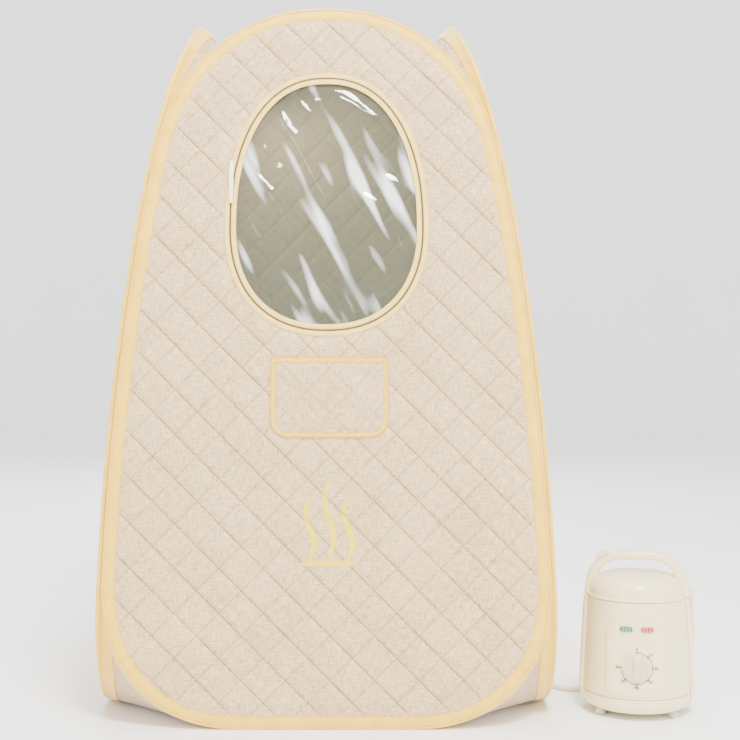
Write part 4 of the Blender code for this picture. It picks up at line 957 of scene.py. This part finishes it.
def build_film(material, binding):
    """The window's soft clear film, with slanting folds and creases."""
    inside = egg(WINDOW, TAPE + ZIP + FLAP_TUCK)
    past = 0.004
    u = np.arange(-WINDOW["half"], WINDOW["half"] + past, FILM_STEP)
    z = np.arange(WINDOW["level"] - WINDOW["down"], WINDOW["level"] + WINDOW["up"] + past, FILM_STEP)
    points, faces, edge = clipped_lines(inside, [], u, z, turned=False)
    turn = math.radians(FILM_FOLDS)
    folds = np.stack([points[:, 0] * math.cos(turn) + points[:, 1] * math.sin(turn),
                      points[:, 1] * math.cos(turn) - points[:, 0] * math.sin(turn)], axis=-1)
    broad = rough(folds * (0.45, 1.0), 0.085, 1.0, 4.0)
    crease = 1 - np.abs(rough(folds * (0.30, 1.0), 0.060, 2.2, 9.0))
    fine = 1 - np.abs(rough(folds * (0.55, 1.0), 0.026, 2.0, 17.0))
    relief = broad * 0.0062 + np.clip(crease, 0, 1) ** 3 * 0.0040 + np.clip(fine, 0, 1) ** 4 * 0.0007
    depth = FILM_DEPTH + 0.0018 - relief * fade(edge - 0.010, 0.035)
    front, back = on_panel(0, *points.T, depth), on_panel(0, *points.T, depth + FILM_THICK)
    mesh = closed_sheet("clear_film", front, back, faces, points)
    film = piece("clear_film", mesh, material, "window_flap", ("window_film",), sharp=80)


def build_door(quilt, binding):
    """The door's quilted flap."""
    inside = egg(DOOR, TAPE + ZIP + FLAP_TUCK, 420)
    door = quilted("door_quilt", 3, inside, [], quilt, "door_flap", ("door_panel",))


def build_pocket(quilt, tape):
    """A quilted patch pocket, sewn down round its sides and slack at its mouth, bound all round."""
    u = np.linspace(-POCKET_HALF, POCKET_HALF, 75) + POCKET_CENTRE
    z = np.linspace(POCKET_LOW, POCKET_HIGH, 51)
    inside = POCKET_LOOP + inward(POCKET_LOOP) * 0.002
    points, faces, edge = clipped_lines(inside, [], u, z, turned=False)
    open_top = fade(POCKET_HIGH - points[:, 1] + 0.02, 0.05)
    from_side = np.minimum(POCKET_HALF - np.abs(points[:, 0] - POCKET_CENTRE), points[:, 1] - POCKET_LOW)
    bulge = fade(np.minimum(edge + 0.004 * (1 - open_top), from_side), 0.045)
    padding = quilt_rise(points[:, 0] + 0.021, points[:, 1] + 0.008) * fade(edge - 0.004, 0.014)
    lift = 0.0030 + 0.0036 * bulge + 0.85 * padding
    depth = PANEL_NEAR - lift
    front, back = on_panel(0, *points.T, depth), on_panel(0, *points.T, depth + POCKET_THICK)
    mesh = closed_sheet("pocket_patch", front, back, faces, points)
    patch = piece("pocket_patch", mesh, quilt, replaces=("pocket",), sharp=75)
    binding = band("pocket_tape", 0, POCKET_LOOP, tape_section(-0.0004, POCKET_EDGE, -0.0030, 0.0036), tape,
                   replaces=("pocket_binding",), ripple=0.0007)


def build_emblem(material):
    """Three rising wisps of steam on a bar, printed on the quilting."""
    centre, level = EMBLEM_CENTRE
    bottom = level - EMBLEM_HEIGHT / 2
    meshes = []
    across = np.linspace(-1, 1, 9)

    def print_strip(u, width, z):
        spread = u[:, None] + width[:, None] * across
        height = np.broadcast_to(z[:, None], spread.shape)
        depth = outer_depth(0, spread, height) - EMBLEM_PROUD
        front = on_panel(0, spread, height, depth)
        back = on_panel(0, spread, height, depth + EMBLEM_THICK)
        meshes.append(grid_sheet("print", front, back, np.stack([spread, height], axis=-1), (0, 3, 2, 1)))

    t = np.linspace(0, 1, 61)
    swell = np.sin(math.pi * np.clip(t, 0.03, 0.97)) ** 0.7
    for place in (-1, 0, 1):
        tall = EMBLEM_HEIGHT * (1.0 if place == 0 else 0.78)
        print_strip(centre + place * EMBLEM_PITCH + EMBLEM_WAVE * np.sin(math.tau * t),
                    EMBLEM_STROKE / 2 * (0.25 + 0.75 * swell), bottom + tall * t)
    print_strip(np.full(9, centre), np.full(9, EMBLEM_BAR), np.linspace(bottom - 0.0120, bottom - 0.0010, 9))
    piece("emblem_print", join_meshes("emblem_print", meshes), material, replaces=("steam_emblem",))


# ---- generator building blocks ------------------------------------------------------------------
def generator_frame():
    """Rotation and place of the generator, from its lid's hinge line."""
    hinge = JOINTS["lid_hinge"]
    ahead = np.array(hinge["axis"], dtype=float)
    side = np.array([ahead[1], -ahead[0], 0.0])
    place = np.array(hinge["pos_m"], dtype=float) - HINGE_X * side
    place[2] = 0.0
    return np.stack([side, ahead, [0.0, 0.0, 1.0]]), place


TURN, PLACE = generator_frame()


def placed(points):
    """Generator points put where the generator stands."""
    return np.asarray(points, dtype=float) @ TURN + PLACE


def cleaned(mesh, distance=1e-6):
    """Weld points that coincide, such as a pole's, and turn the faces outward."""
    work = bmesh.new()
    work.from_mesh(mesh)
    bmesh.ops.remove_doubles(work, verts=work.verts, dist=distance)
    bmesh.ops.recalc_face_normals(work, faces=work.faces)
    work.to_mesh(mesh)
    work.free()
    return mesh


def turned_grid(profile, axis="Z", steps=ROUND):
    """Points of a (radius, height) profile turned about an axis, and their UVs."""
    profile = np.asarray(profile, dtype=float)
    bend = np.linspace(0, math.tau, steps, endpoint=False)
    r, h = profile[:, :1], np.broadcast_to(profile[:, 1:], (len(profile), steps))
    c, s = r * np.cos(bend), r * np.sin(bend)
    points = {"Z": (c, s, h), "Y": (c, h, s), "X": (h, c, s)}[axis]
    uv = pairs(lengths(profile, True), np.linspace(0, 0.6, steps + 1))
    return np.stack(points, axis=-1), uv


def turned(name, profile, material, slot, body="root", replaces=(), axis="Z", at=(0, 0, 0), steps=ROUND,
           local=True):
    """A turned piece from a closed profile, standing at a place in the generator."""
    points, uv = turned_grid(profile, axis, steps)
    points = points + np.array(at)
    mesh = grid_mesh(name, placed(points) if local else points, uv, True, True)
    return piece(name, cleaned(mesh), material, body, replaces, sharp=32)


def lofted(name, sections, local=True):
    """A closed mesh through equal closed sections, with flat ends."""
    sections = np.asarray(sections, dtype=float)
    size = sections.shape[1]
    points = placed(sections) if local else sections
    work = bmesh.new()
    rings = [[work.verts.new(p) for p in ring] for ring in points]
    for a, b in zip(rings, rings[1:]):
        for k in range(size):
            m = (k + 1) % size
            work.faces.new((a[k], a[m], b[m], b[k]))
    work.faces.new(rings[0])
    work.faces.new(rings[-1])
    bmesh.ops.recalc_face_normals(work, faces=work.faces)
    layer = work.loops.layers.uv.new("UVMap")
    for face in work.faces:
        for loop in face.loops:
            loop[layer].uv = (loop.vert.co.x, loop.vert.co.z)
    mesh = bpy.data.meshes.new(name)
    work.to_mesh(mesh)
    work.free()
    return mesh


def body_radius(z):
    """Outer radius of the generator's body at a height."""
    t = np.clip((np.asarray(z, dtype=float) - BASE_SEAM) / (LID_SEAM - BASE_SEAM), 0, 1)
    return BASE_RADIUS + (SEAM_RADIUS - BASE_RADIUS) * t + BODY_BULGE * 4 * t * (1 - t)


def base_radius(z):
    """Outer radius of the base pan's rounded edge at a height."""
    drop = np.maximum(FOOT_HEIGHT + GAP + BASE_ROUND - np.asarray(z, dtype=float), 0)
    return BASE_RADIUS - BASE_ROUND + np.sqrt(np.maximum(BASE_ROUND ** 2 - drop ** 2, 0))


def signed_power(wave, power):
    """A wave raised to a power, with its sign kept, which makes a round section squarer."""
    return np.sign(wave) * np.abs(wave) ** power


def on_body(x, z, out):
    """Points on the body's front at x across it and a distance out from its surface."""
    return np.stack(np.broadcast_arrays(x, -np.sqrt((body_radius(z) + out) ** 2 - np.square(x)), z), axis=-1)


# ---- generator pieces ---------------------------------------------------------------------------
def build_casing(looks):
    """Base pan, body shell, ribs and feet."""
    ivory = looks["ivory"]
    low = FOOT_HEIGHT + GAP
    bend = low + BASE_ROUND * (1 - np.cos(np.radians(np.linspace(0, 90, 12))))
    outer = [(float(base_radius(z)), float(z)) for z in bend]
    rim = BASE_SEAM - 0.0005
    pan = [(0, low)] + outer + [(BASE_RADIUS, rim - 0.0012), (BASE_RADIUS - 0.0012, rim),
                                (BASE_RADIUS - WALL, rim), (BASE_RADIUS - WALL, low + BASE_ROUND),
                                (BASE_RADIUS - BASE_ROUND, low + WALL), (0, low + WALL)]
    turned("base_casing", pan, ivory, "ivory", replaces=("base_pan",))
    levels = np.linspace(BASE_SEAM + 0.0012, LID_SEAM - 0.0016, 14)
    shell = [(float(body_radius(BASE_SEAM)) - 0.0011, BASE_SEAM + 0.0004)]
    shell += [(float(body_radius(z)), float(z)) for z in levels]
    shell += [(SEAM_RADIUS - 0.0011, LID_SEAM - 0.0005), (SEAM_RADIUS - WALL, LID_SEAM - 0.0005)]
    shell += [(float(body_radius(BASE_SEAM)) - WALL, BASE_SEAM + 0.0004)]
    turned("body_casing", shell, ivory, "ivory", replaces=("body_shell",))
    for name, turn in (("left", math.pi), ("right", 0.0)):
        side_rib(name, turn, ivory)
    foot = [(0, 0), (0.0080, 0), (0.0098, 0.0008), (0.0105, 0.0030), (0.0100, 0.0110), (0.0094, FOOT_HEIGHT),
            (0, FOOT_HEIGHT)]
    for row, y in (("front", -0.046), ("rear", 0.046)):
        for column, x in (("left", -0.069), ("right", 0.069)):
            turned("stub_foot_" + row + "_" + column, foot, looks["rubber"], "rubber",
                   replaces=("foot_" + row + "_" + column,), at=(x, y, 0), steps=40)


def side_rib(name, turn, material):
    """An upright rib over the casing's side, rounded all round its edge."""
    spread, low, high = math.radians(10.5), 0.0205, LID_SEAM - GAP
    q = np.sin(np.radians(np.linspace(-90, 90, 25)))
    t = (1 - np.cos(np.radians(np.linspace(0, 180, 61)))) / 2
    z = (low + (high - low) * t)[:, None]
    skin = np.where(z < BASE_SEAM, base_radius(z), body_radius(z))
    foot = fade(z - low, 0.030)
    thick = 0.0036 + 0.0039 * foot
    edge = np.sqrt(np.clip(1 - q ** 6, 0, 1)) * np.sqrt(np.clip(1 - (2 * t - 1)[:, None] ** 30, 0, 1))
    angle = np.broadcast_to(turn + spread * q, edge.shape)

    def shell(out):
        r = skin + out
        return np.stack([r * np.cos(angle), r * np.sin(angle), np.broadcast_to(z, r.shape)], axis=-1)

    front, back = placed(shell(0.0006 + thick * edge)), placed(shell(np.full(edge.shape, GAP)))
    uv = np.stack(np.broadcast_arrays(q * 0.02, z), axis=-1)
    mesh = grid_sheet(name + "_rib", front, back, uv, (0, 3, 2, 1))
    piece(name + "_rib", cleaned(mesh), material, replaces=(name + "_side_frame",), sharp=40)


def plate_span(c):
    """Lowest and highest point of the control plate, at a place across it from -1 to 1."""
    side = np.maximum(np.abs(PLATE_HALF * c) - (PLATE_HALF - PLATE_CORNER), 0)
    corner = PLATE_CORNER - np.sqrt(np.maximum(PLATE_CORNER ** 2 - side ** 2, 0))
    arch = (PLATE_TOP - PLATE_SHOULDER) * (0.5 + 0.5 * np.cos(math.pi * np.minimum(np.abs(c) / 0.85, 1)))
    return PLATE_LOW + corner, PLATE_SHOULDER + arch - corner * 0.55


def build_plate(looks):
    """The raised control plate, bevelled all round, with an arched top."""
    c = np.sin(np.radians(np.linspace(-90, 90, 91)))[:, None]
    k = (1 - np.cos(np.radians(np.linspace(0, 180, 91)))) / 2
    low, high = plate_span(c)
    spots = np.stack(np.broadcast_arrays(PLATE_HALF * c, low + (high - low) * k), axis=-1)
    x, z = spots[..., 0], spots[..., 1]
    rim = np.vstack([spots[:, 0], spots[-1, 1:], spots[-2::-1, -1], spots[0, -2:0:-1]])
    inset = inset_of(spots.reshape(-1, 2), resampled(rim, 500, closed=True))[0].reshape(z.shape)
    rise = np.sqrt(np.clip(1 - (1 - np.clip(inset / PLATE_BEVEL, 0, 1)) ** 2, 0, 1))
    edge = 0.0006
    front, back = on_body(x, z, edge + (PLATE_THICK - edge) * rise), on_body(x, z, 0.0004)
    mesh = grid_sheet("control_panel", placed(front), placed(back), spots)
    piece("control_panel", cleaned(mesh), looks["ivory"], replaces=("control_plate",), sharp=50)


def build_lamps(looks):
    """Two domed lenses with round ends; their bars of colour are in the material."""
    half, radius = LAMP_SIZE[0] / 2, LAMP_SIZE[1] / 2
    bend = np.radians(np.linspace(-90, 270, 72, endpoint=False))
    ends = np.where(np.cos(bend) >= 0, half - radius, radius - half)
    outline = np.stack([ends + radius * np.cos(bend), radius * np.sin(bend)], axis=-1)
    dome = ((1.0, 0.0004), (1.0, 0.0022), (0.94, 0.0030), (0.80, 0.0034), (0.50, 0.0037), (0.02, 0.0038))
    for colour, node, x in (("green", "power_lamp", -LAMP_X), ("red", "heat_lamp", LAMP_X)):
        rings = [on_body(x + outline[:, 0] * share, LAMP_Z + outline[:, 1] * share, PLATE_THICK + out)
                 for share, out in dome]
        name = colour + "_lens"
        mesh = lofted(name, rings)
        layer = mesh.uv_layers["UVMap"].data
        for loop in mesh.loops:
            spot = (np.array(mesh.vertices[loop.vertex_index].co) - PLACE) @ TURN.T
            layer[loop.index].uv = (spot[0] - x, spot[2] - LAMP_Z)
        piece(name, mesh, looks[colour], replaces=(node,), sharp=50)


def build_dial(looks):
    """The timer's dial: a disc with a bow-tie grip, on its own body."""
    back = -(float(body_radius(DIAL_Z - DIAL_RADIUS)) + PLATE_THICK + GAP)
    disc = rounded([(0, 0), (DIAL_RADIUS, 0), (DIAL_RADIUS, -0.0032), (DIAL_RADIUS - 0.0034, -0.0060),
                    (DIAL_RADIUS - 0.0060, -0.0052), (0, -0.0052)], 0.0012)
    points, uv = turned_grid(disc, "Y")
    face = cleaned(grid_mesh("disc", placed(points + (0, back, DIAL_Z)), uv, True, True))
    sections = []
    bend = np.radians(np.linspace(0, 360, 28, endpoint=False))
    for along in np.sin(np.radians(np.linspace(-90, 90, 31))):
        width = 0.0052 + 0.0046 * along ** 2
        end = math.sqrt(max(1 - abs(along) ** 14, 0.02))
        side = signed_power(np.cos(bend), 0.55) * width * (0.90 + 0.10 * end)
        out = signed_power(np.sin(bend), 0.60) * 0.0040 * end
        level = np.full(len(bend), DIAL_Z + along * (DIAL_RADIUS - 0.0024))
        sections.append(np.column_stack([side, back - 0.0080 - out, level]))
    dial = join_meshes("dial", [face, lofted("grip", sections)])
    piece("dial", dial, looks["dial"], "timer_knob", ("timer_dial",), sharp=42)


def build_scale(looks):
    """The printed scale round the dial: an arc, a dot each ten minutes and its number."""
    sweep = np.radians(np.linspace(0, 270, 136))
    meshes = []

    def ribbon(angles, inner, outer):
        r = np.array([inner, (inner + outer) / 2, outer])
        x, z = r * np.sin(angles)[:, None], DIAL_Z + r * np.cos(angles)[:, None]
        front, back = (placed(on_body(x, z, PLATE_THICK + out)) for out in (0.00025, 0.00002))
        meshes.append(grid_sheet("mark", front, back, np.stack([x, z], axis=-1), (0, 3, 2, 1)))

    ribbon(sweep, SCALE_RADIUS - 0.00060, SCALE_RADIUS + 0.00060)
    for step in range(7):
        angle = math.radians(45 * step)
        spread = np.radians(np.linspace(-3.2, 3.2, 7))
        ribbon(angle + spread, SCALE_RADIUS - 0.0015, SCALE_RADIUS + 0.0015)
        curve = bpy.data.curves.new("number", "FONT")
        curve.body = str(10 * step)
        curve.size = 0.0080
        curve.offset = 0.00022
        curve.align_x = "CENTER"
        curve.align_y = "CENTER"
        text = link(bpy.data.objects.new("number", curve))
        flat = bpy.data.meshes.new_from_object(text)
        bpy.data.objects.remove(text)
        spots = np.array([vertex.co[:] for vertex in flat.vertices])
        x = spots[:, 0] + (SCALE_RADIUS + 0.0062) * math.sin(angle)
        z = spots[:, 1] + DIAL_Z + (SCALE_RADIUS + 0.0062) * math.cos(angle)
        flat.vertices.foreach_set("co", placed(on_body(x, z, PLATE_THICK + 0.00022)).reshape(-1))
        meshes.append(flat)
    piece("dial_scale", join_meshes("dial_scale", meshes), looks["print"])


def build_lid(looks):
    """Lid, gasket and arched handle, on the lid's body."""
    ivory = looks["ivory"]
    shoulder = spline([(0.0928, 0.014), (0.0918, 0.36), (0.0890, 0.53), (0.0835, 0.73), (0.0720, 0.90),
                       (0.0580, 1.0)], 6)
    outer = [(0.0962, LID_SEAM + 0.0006), (0.0966, LID_SEAM + 0.0016), (0.0962, LID_SEAM + 0.0030),
             (0.0938, LID_SEAM + 0.0036)]
    outer += [(r, LID_SEAM + LID_RISE * t) for r, t in shoulder if t > 0.12]
    crown = [(0.040, LID_SEAM + LID_RISE + 0.0008), (0.0, LID_SEAM + LID_RISE + 0.0012)]
    inner = [(r - WALL, LID_SEAM + LID_RISE * t - WALL * t) for r, t in shoulder[::-1] if t > 0.05]
    profile = outer + crown + [(0.0, LID_SEAM + LID_RISE - WALL)] + inner + [(0.0900, LID_SEAM + 0.0006)]
    turned("lid_shell", profile, ivory, "ivory", "lid_assembly", ("lid",))
    gasket = rounded([(0.0820, LID_SEAM - 0.0100), (0.0885, LID_SEAM - 0.0100), (0.0885, LID_SEAM + 0.0002),
                      (0.0820, LID_SEAM + 0.0002), (0.0820, LID_SEAM - 0.0100)], 0.0012)
    turned("gasket_ring", gasket[:-1], looks["rubber"], "rubber", "lid_assembly", ("lid_gasket",))
    build_handle(ivory)


def build_handle(material):
    """The arch over the lid, rounded in section, rising from two legs that merge with the lid's side."""
    bend = np.radians(np.linspace(0, 90, 19))
    low, high = LID_SEAM + LID_RISE, HANDLE_TOP - HANDLE_THICK / 2
    root = (1 - np.sin(bend)) ** 2.5
    arch = np.column_stack([0.030 + 0.054 * np.cos(bend) - 0.0022 * root,
                            low + (high - low) * np.sin(bend) ** 1.7,
                            HANDLE_THICK * (0.92 + 0.08 * np.sin(bend)) + 0.0074 * root])
    legs = spline([(0.0958, LID_SEAM + 0.0012, 0.0116), (0.0930, LID_SEAM + 0.0120, 0.0150),
                   (0.0900, LID_SEAM + 0.0230, 0.0185), (0.0862, LID_SEAM + 0.0330, 0.0212), arch[0]], 5)[:-1]
    half = np.vstack([legs, arch])
    top = np.column_stack([np.linspace(0.030, 0, 9)[1:-1], np.full(7, high), np.full(7, HANDLE_THICK)])
    line = np.vstack([half, top])
    line = np.vstack([line, [(0.0, high, HANDLE_THICK)], line[::-1] * (-1, 1, 1)])
    along = np.gradient(line[:, :2], axis=0)
    along[0], along[-1] = (0, 1), (0, -1)
    along /= np.linalg.norm(along, axis=1)[:, None]
    turn = np.radians(np.linspace(0, 360, 40, endpoint=False))
    across, deep = signed_power(np.cos(turn), 0.62), signed_power(np.sin(turn), 0.55)
    sections = []
    for (x, z, thick), (ax, az) in zip(line, along):
        offset = across * thick / 2
        sections.append(np.column_stack([x - az * offset, deep * HANDLE_DEPTH / 2, z + ax * offset]))
    piece("arched_handle", lofted("arched_handle", sections), material, "lid_assembly", ("handle",),
          sharp=55)


def build_tank(looks):
    """Water tank and steam outlet."""
    top, floor, wall, inner, corner, lip = 0.2155, 0.0620, 0.0015, 0.0705, 0.0035, 0.0885
    outside = rounded([(0, floor), (inner + wall, floor), (inner + wall, top - wall), (lip, top - wall)],
                      corner)
    inside = rounded([(lip, top), (inner, top), (inner, floor + wall), (0, floor + wall)], corner)
    turned("steel_tank", np.vstack([outside, inside]), looks["steel"], "steel", replaces=("water_tank",))
    flange = 0.0140
    skin = float(body_radius(OUTLET_Z - flange)) + GAP
    spout = [(0, skin), (flange, skin), (0.0142, skin + 0.0028), (0.0130, skin + 0.0040),
             (0.0088, skin + 0.0052), (0.0076, skin + 0.0072), (0.0075, 0.1200), (0.0082, 0.1208),
             (0.0082, 0.1226), (0.0075, 0.1234), (0.0073, 0.1272), (0.0066, OUTLET_REACH), (0, OUTLET_REACH)]
    turned("outlet_spout", spout, looks["ivory"], "ivory", replaces=("steam_outlet",), axis="Y",
           at=(0, 0, OUTLET_Z), steps=56)


def build_port(looks):
    """The steam inlet's flange through the right panel, its nut inside and the elbow for the hose."""
    low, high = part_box("steam_inlet_port")
    inner, face = low[0], high[0]
    back = face - 0.004
    bore, neck, edge = 0.0060, 0.0155, 0.0240
    flange = [(bore, face), (0.0200, face), (0.0228, face - 0.0007), (edge, face - 0.0022), (edge, back),
              (neck, back), (neck, inner), (bore, inner)]
    at = (0, PORT_PLACE[0], PORT_PLACE[1])
    turned("port_flange", flange, looks["ivory"], "ivory", replaces=("steam_inlet_port",), axis="X", at=at,
           steps=72, local=False)
    low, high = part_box("port_nut")
    bend = np.linspace(0, math.tau, 60, endpoint=False)
    hole, rim = 0.0162, 0.0220
    points, uv = turned_grid([(hole, low[0]), (rim, low[0]), (rim, high[0]), (hole, high[0])], "X", 60)
    points[1:3, :, 1:] *= (1 + 0.045 * np.sign(np.cos(10 * bend)))[None, :, None] * 0.955
    mesh = cleaned(grid_mesh("nut", points + at, uv, True, True))
    piece("grip_nut", mesh, looks["ivory"], replaces=("port_nut",), sharp=30)
    low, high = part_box("inlet_elbow")
    start, reach_x, end_y = low[0], high[0] - 0.0085, low[1]
    corner, tube, bead = 0.012, 0.0080, 0.0088
    turn = np.radians(np.linspace(90, 0, 13))
    centre = [(start, at[1]), (start + 0.004, at[1])]
    centre += [(reach_x - corner + corner * math.cos(a), at[1] - corner + corner * math.sin(a)) for a in turn]
    centre += [(reach_x, y) for y in np.linspace(at[1] - 0.014, end_y, 8)]
    centre = np.array(centre)
    along = np.gradient(centre, axis=0)
    along /= np.linalg.norm(along, axis=1)[:, None]
    radius = np.full(len(centre), tube)
    radius[:2] = bead
    radius[-6:] = (bead, tube, bead, tube, bead, 0.0078)
    ring = np.linspace(0, math.tau, 40, endpoint=False)
    sections = [np.column_stack([x - dy * r * np.cos(ring), y + dx * r * np.cos(ring),
                                 at[2] + r * np.sin(ring)])
                for (x, y), (dx, dy), r in zip(centre, along, radius)]
    piece("hose_elbow", lofted("hose_elbow", sections, False), looks["ivory"],
          replaces=("inlet_elbow",))


def dress_cad(looks):
    """Materials and softened edges for the CAD pieces that stay."""
    kept = {"hinge_strap": ("ivory", 0.0009), "lid_knuckle": ("ivory", 0.0006),
            "button_bezel": ("ivory", 0.0006), "release_button": ("ivory", 0.0007),
            "mains_inlet": ("black", 0.0008), "timer_unit": ("black", 0.0010),
            "timer_shaft": ("steel", 0.0), "hinge_pin": ("steel", 0.0),
            "heating_plate": ("heater", 0.0010), "thermal_cutout": ("black", 0.0008)}
    kept.update({opening + "_zip_slider": ("slider", 0.0014) for opening in ("window", "door")})
    kept.update({opening + "_zip_pull": ("slider", 0.0007) for opening in ("window", "door")})
    kept.update({name + "_spring_hoop": ("steel", 0.0) for name in SIDES})
    for node, (look, width) in kept.items():
        obj = frame["nodes"][node]
        obj = obj if isinstance(obj, bpy.types.Object) else bpy.data.objects[node]
        obj.data.materials.clear()
        obj.data.materials.append(looks[look])
        if width:
            bevel = obj.modifiers.new("soft_edges", "BEVEL")
            bevel.width = width
            bevel.segments = 3
            bevel.limit_method = "ANGLE"
            bevel.angle_limit = math.radians(32)
            bevel.harden_normals = False


# ---- camera, hose and stage ---------------------------------------------------------------------
def make_camera():
    """The camera in front of the tent, looking level."""
    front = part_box("floor_cloth")[0][1]
    data = bpy.data.cameras.new("camera")
    data.sensor_width = SENSOR
    data.lens = LENS
    data.shift_x, data.shift_y = SHIFT
    camera = link(bpy.data.objects.new("camera", data))
    camera.location = (0.0, front - CAMERA_AHEAD, CAMERA_HEIGHT)
    camera.rotation_euler = (math.radians(90), 0, 0)
    bpy.context.scene.camera = camera


def make_hose(material):
    """The free steam hose, along the CAD's route."""
    route = spline(HOSE_ROUTE, 6)
    curve = bpy.data.curves.new("hose", "CURVE")
    curve.dimensions = "3D"
    line = curve.splines.new("POLY")
    line.points.add(len(route) - 1)
    for target, point in zip(line.points, route):
        target.co = (*point, 1.0)
    curve.bevel_depth = HOSE_DIAMETER / 2
    curve.bevel_resolution = 6
    curve.use_fill_caps = True
    curve.materials.append(material)
    hose = link(bpy.data.objects.new("hose", curve))
    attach(hose, "root")
    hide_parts("steam_hose")


def area_light(name, place, target, size, power):
    """A soft square light aimed at a place."""
    data = bpy.data.lights.new(name, "AREA")
    data.size = size
    data.energy = power
    light = link(bpy.data.objects.new(name, data))
    light.location = place
    light.rotation_euler = (Vector(target) - Vector(place)).to_track_quat("-Z", "Y").to_euler()


def make_stage():
    """A pale floor that curves up into a wall all round, and soft studio light."""
    bend = np.radians(np.linspace(0, 90, 16))
    cove = np.column_stack([6.0 + 2.0 * np.sin(bend), 2.0 - 2.0 * np.cos(bend)])
    profile = np.vstack([[(0.01, 0.0), (4.0, 0.0)], cove, [(8.0, 3.4)]])
    points, uv = turned_grid(profile, "Z", 96)
    mesh = grid_mesh("studio_floor", points, uv, False, True, flip=True)
    floor = link(bpy.data.objects.new("studio_floor", mesh))
    mesh.shade_smooth()
    made, tree, shader = new_material("studio_floor", (0.96, 0.96, 0.96), 0.75)
    shade = noise_value(tree, object_coordinates(tree), 3.0)
    tree.links.new(ramp(tree, shade, ((0.3, (0.95, 0.95, 0.95)), (0.7, (0.97, 0.97, 0.97)))),
                   shader.inputs["Base Color"])
    mesh.materials.append(made)
    world = bpy.data.worlds.new("studio")
    world.use_nodes = True
    world.node_tree.nodes["Background"].inputs["Color"].default_value = (1.0, 1.0, 1.0, 1.0)
    world.node_tree.nodes["Background"].inputs["Strength"].default_value = WORLD_STRENGTH
    bpy.context.scene.world = world
    for light in LIGHTS:
        area_light(*light)


def main():
    """Everything in its order: camera and hose, cloth, generator, stage."""
    looks = {
        "quilt": quilt_material("quilt", (0.40, 0.262, 0.122), (0.82, 0.585, 0.310)),
        "lining": quilt_material("lining", (0.40, 0.265, 0.130), (0.70, 0.50, 0.275), stitched=False),
        "tape": tape_material("binding", (0.90, 0.545, 0.035), 0.0034),
        "cream": tape_material("cream_tape", (0.92, 0.64, 0.15), 0.0020),
        # The coil's brown is its own colour, darkened with painted shade; the dark band under it is painted
        # shade.
        "zip": moulded_material("zip", (0.16, 0.09, 0.03), 0.45, 0.1),
        "zip_shade_tape": tape_material("zip_shade_tape", (0.22, 0.13, 0.05)),
        "film": film_material(),
        "emblem": tape_material("emblem", (0.84, 0.60, 0.012)),
        "ivory": moulded_material("ivory", (0.90, 0.77, 0.44), 0.26, 0.4),
        # Painted shade: the dial's ivory is darker than the casing's, standing in for the shadow round the
        # dial.
        "dial": moulded_material("dial", (0.72, 0.62, 0.39), 0.30, 0.4),
        "slider": moulded_material("slider", (0.95, 0.93, 0.86), 0.30, 0.4),
        "rubber": moulded_material("rubber", (0.62, 0.56, 0.44), 0.60, 0.0, 0.0001),
        "hose": moulded_material("hose", (0.88, 0.80, 0.62), 0.40, 0.15),
        "black": moulded_material("black", (0.030, 0.030, 0.032), 0.40, 0.1),
        "print": moulded_material("print", (0.045, 0.040, 0.030), 0.55, 0.0),
        "green": lamp_material("green_lens", (0.003, 0.210, 0.060)),
        "red": lamp_material("red_lens", (0.560, 0.012, 0.022)),
        "steel": metal_material("steel", (0.66, 0.66, 0.66), 0.28),
        "heater": metal_material("heater", (0.48, 0.48, 0.49), 0.45),
    }
    make_camera()
    make_hose(looks["hose"])
    panels = build_panels(looks["quilt"])
    sleeves = build_sleeves(looks["tape"])
    roof, strips = build_roof(looks["quilt"], looks["tape"])
    cloth, strips = build_floor(looks["lining"], looks["tape"])
    opening = dict(looks, tape=looks["cream"])
    build_film(looks["film"], build_opening("window", 0, WINDOW, opening))
    build_door(looks["quilt"], build_opening("door", 3, DOOR, opening))
    build_pocket(looks["quilt"], looks["tape"])
    build_emblem(looks["emblem"])
    build_port(looks)
    build_casing(looks)
    build_plate(looks)
    build_lamps(looks)
    build_dial(looks)
    build_scale(looks)
    build_lid(looks)
    build_tank(looks)
    dress_cad(looks)
    make_stage()


main()
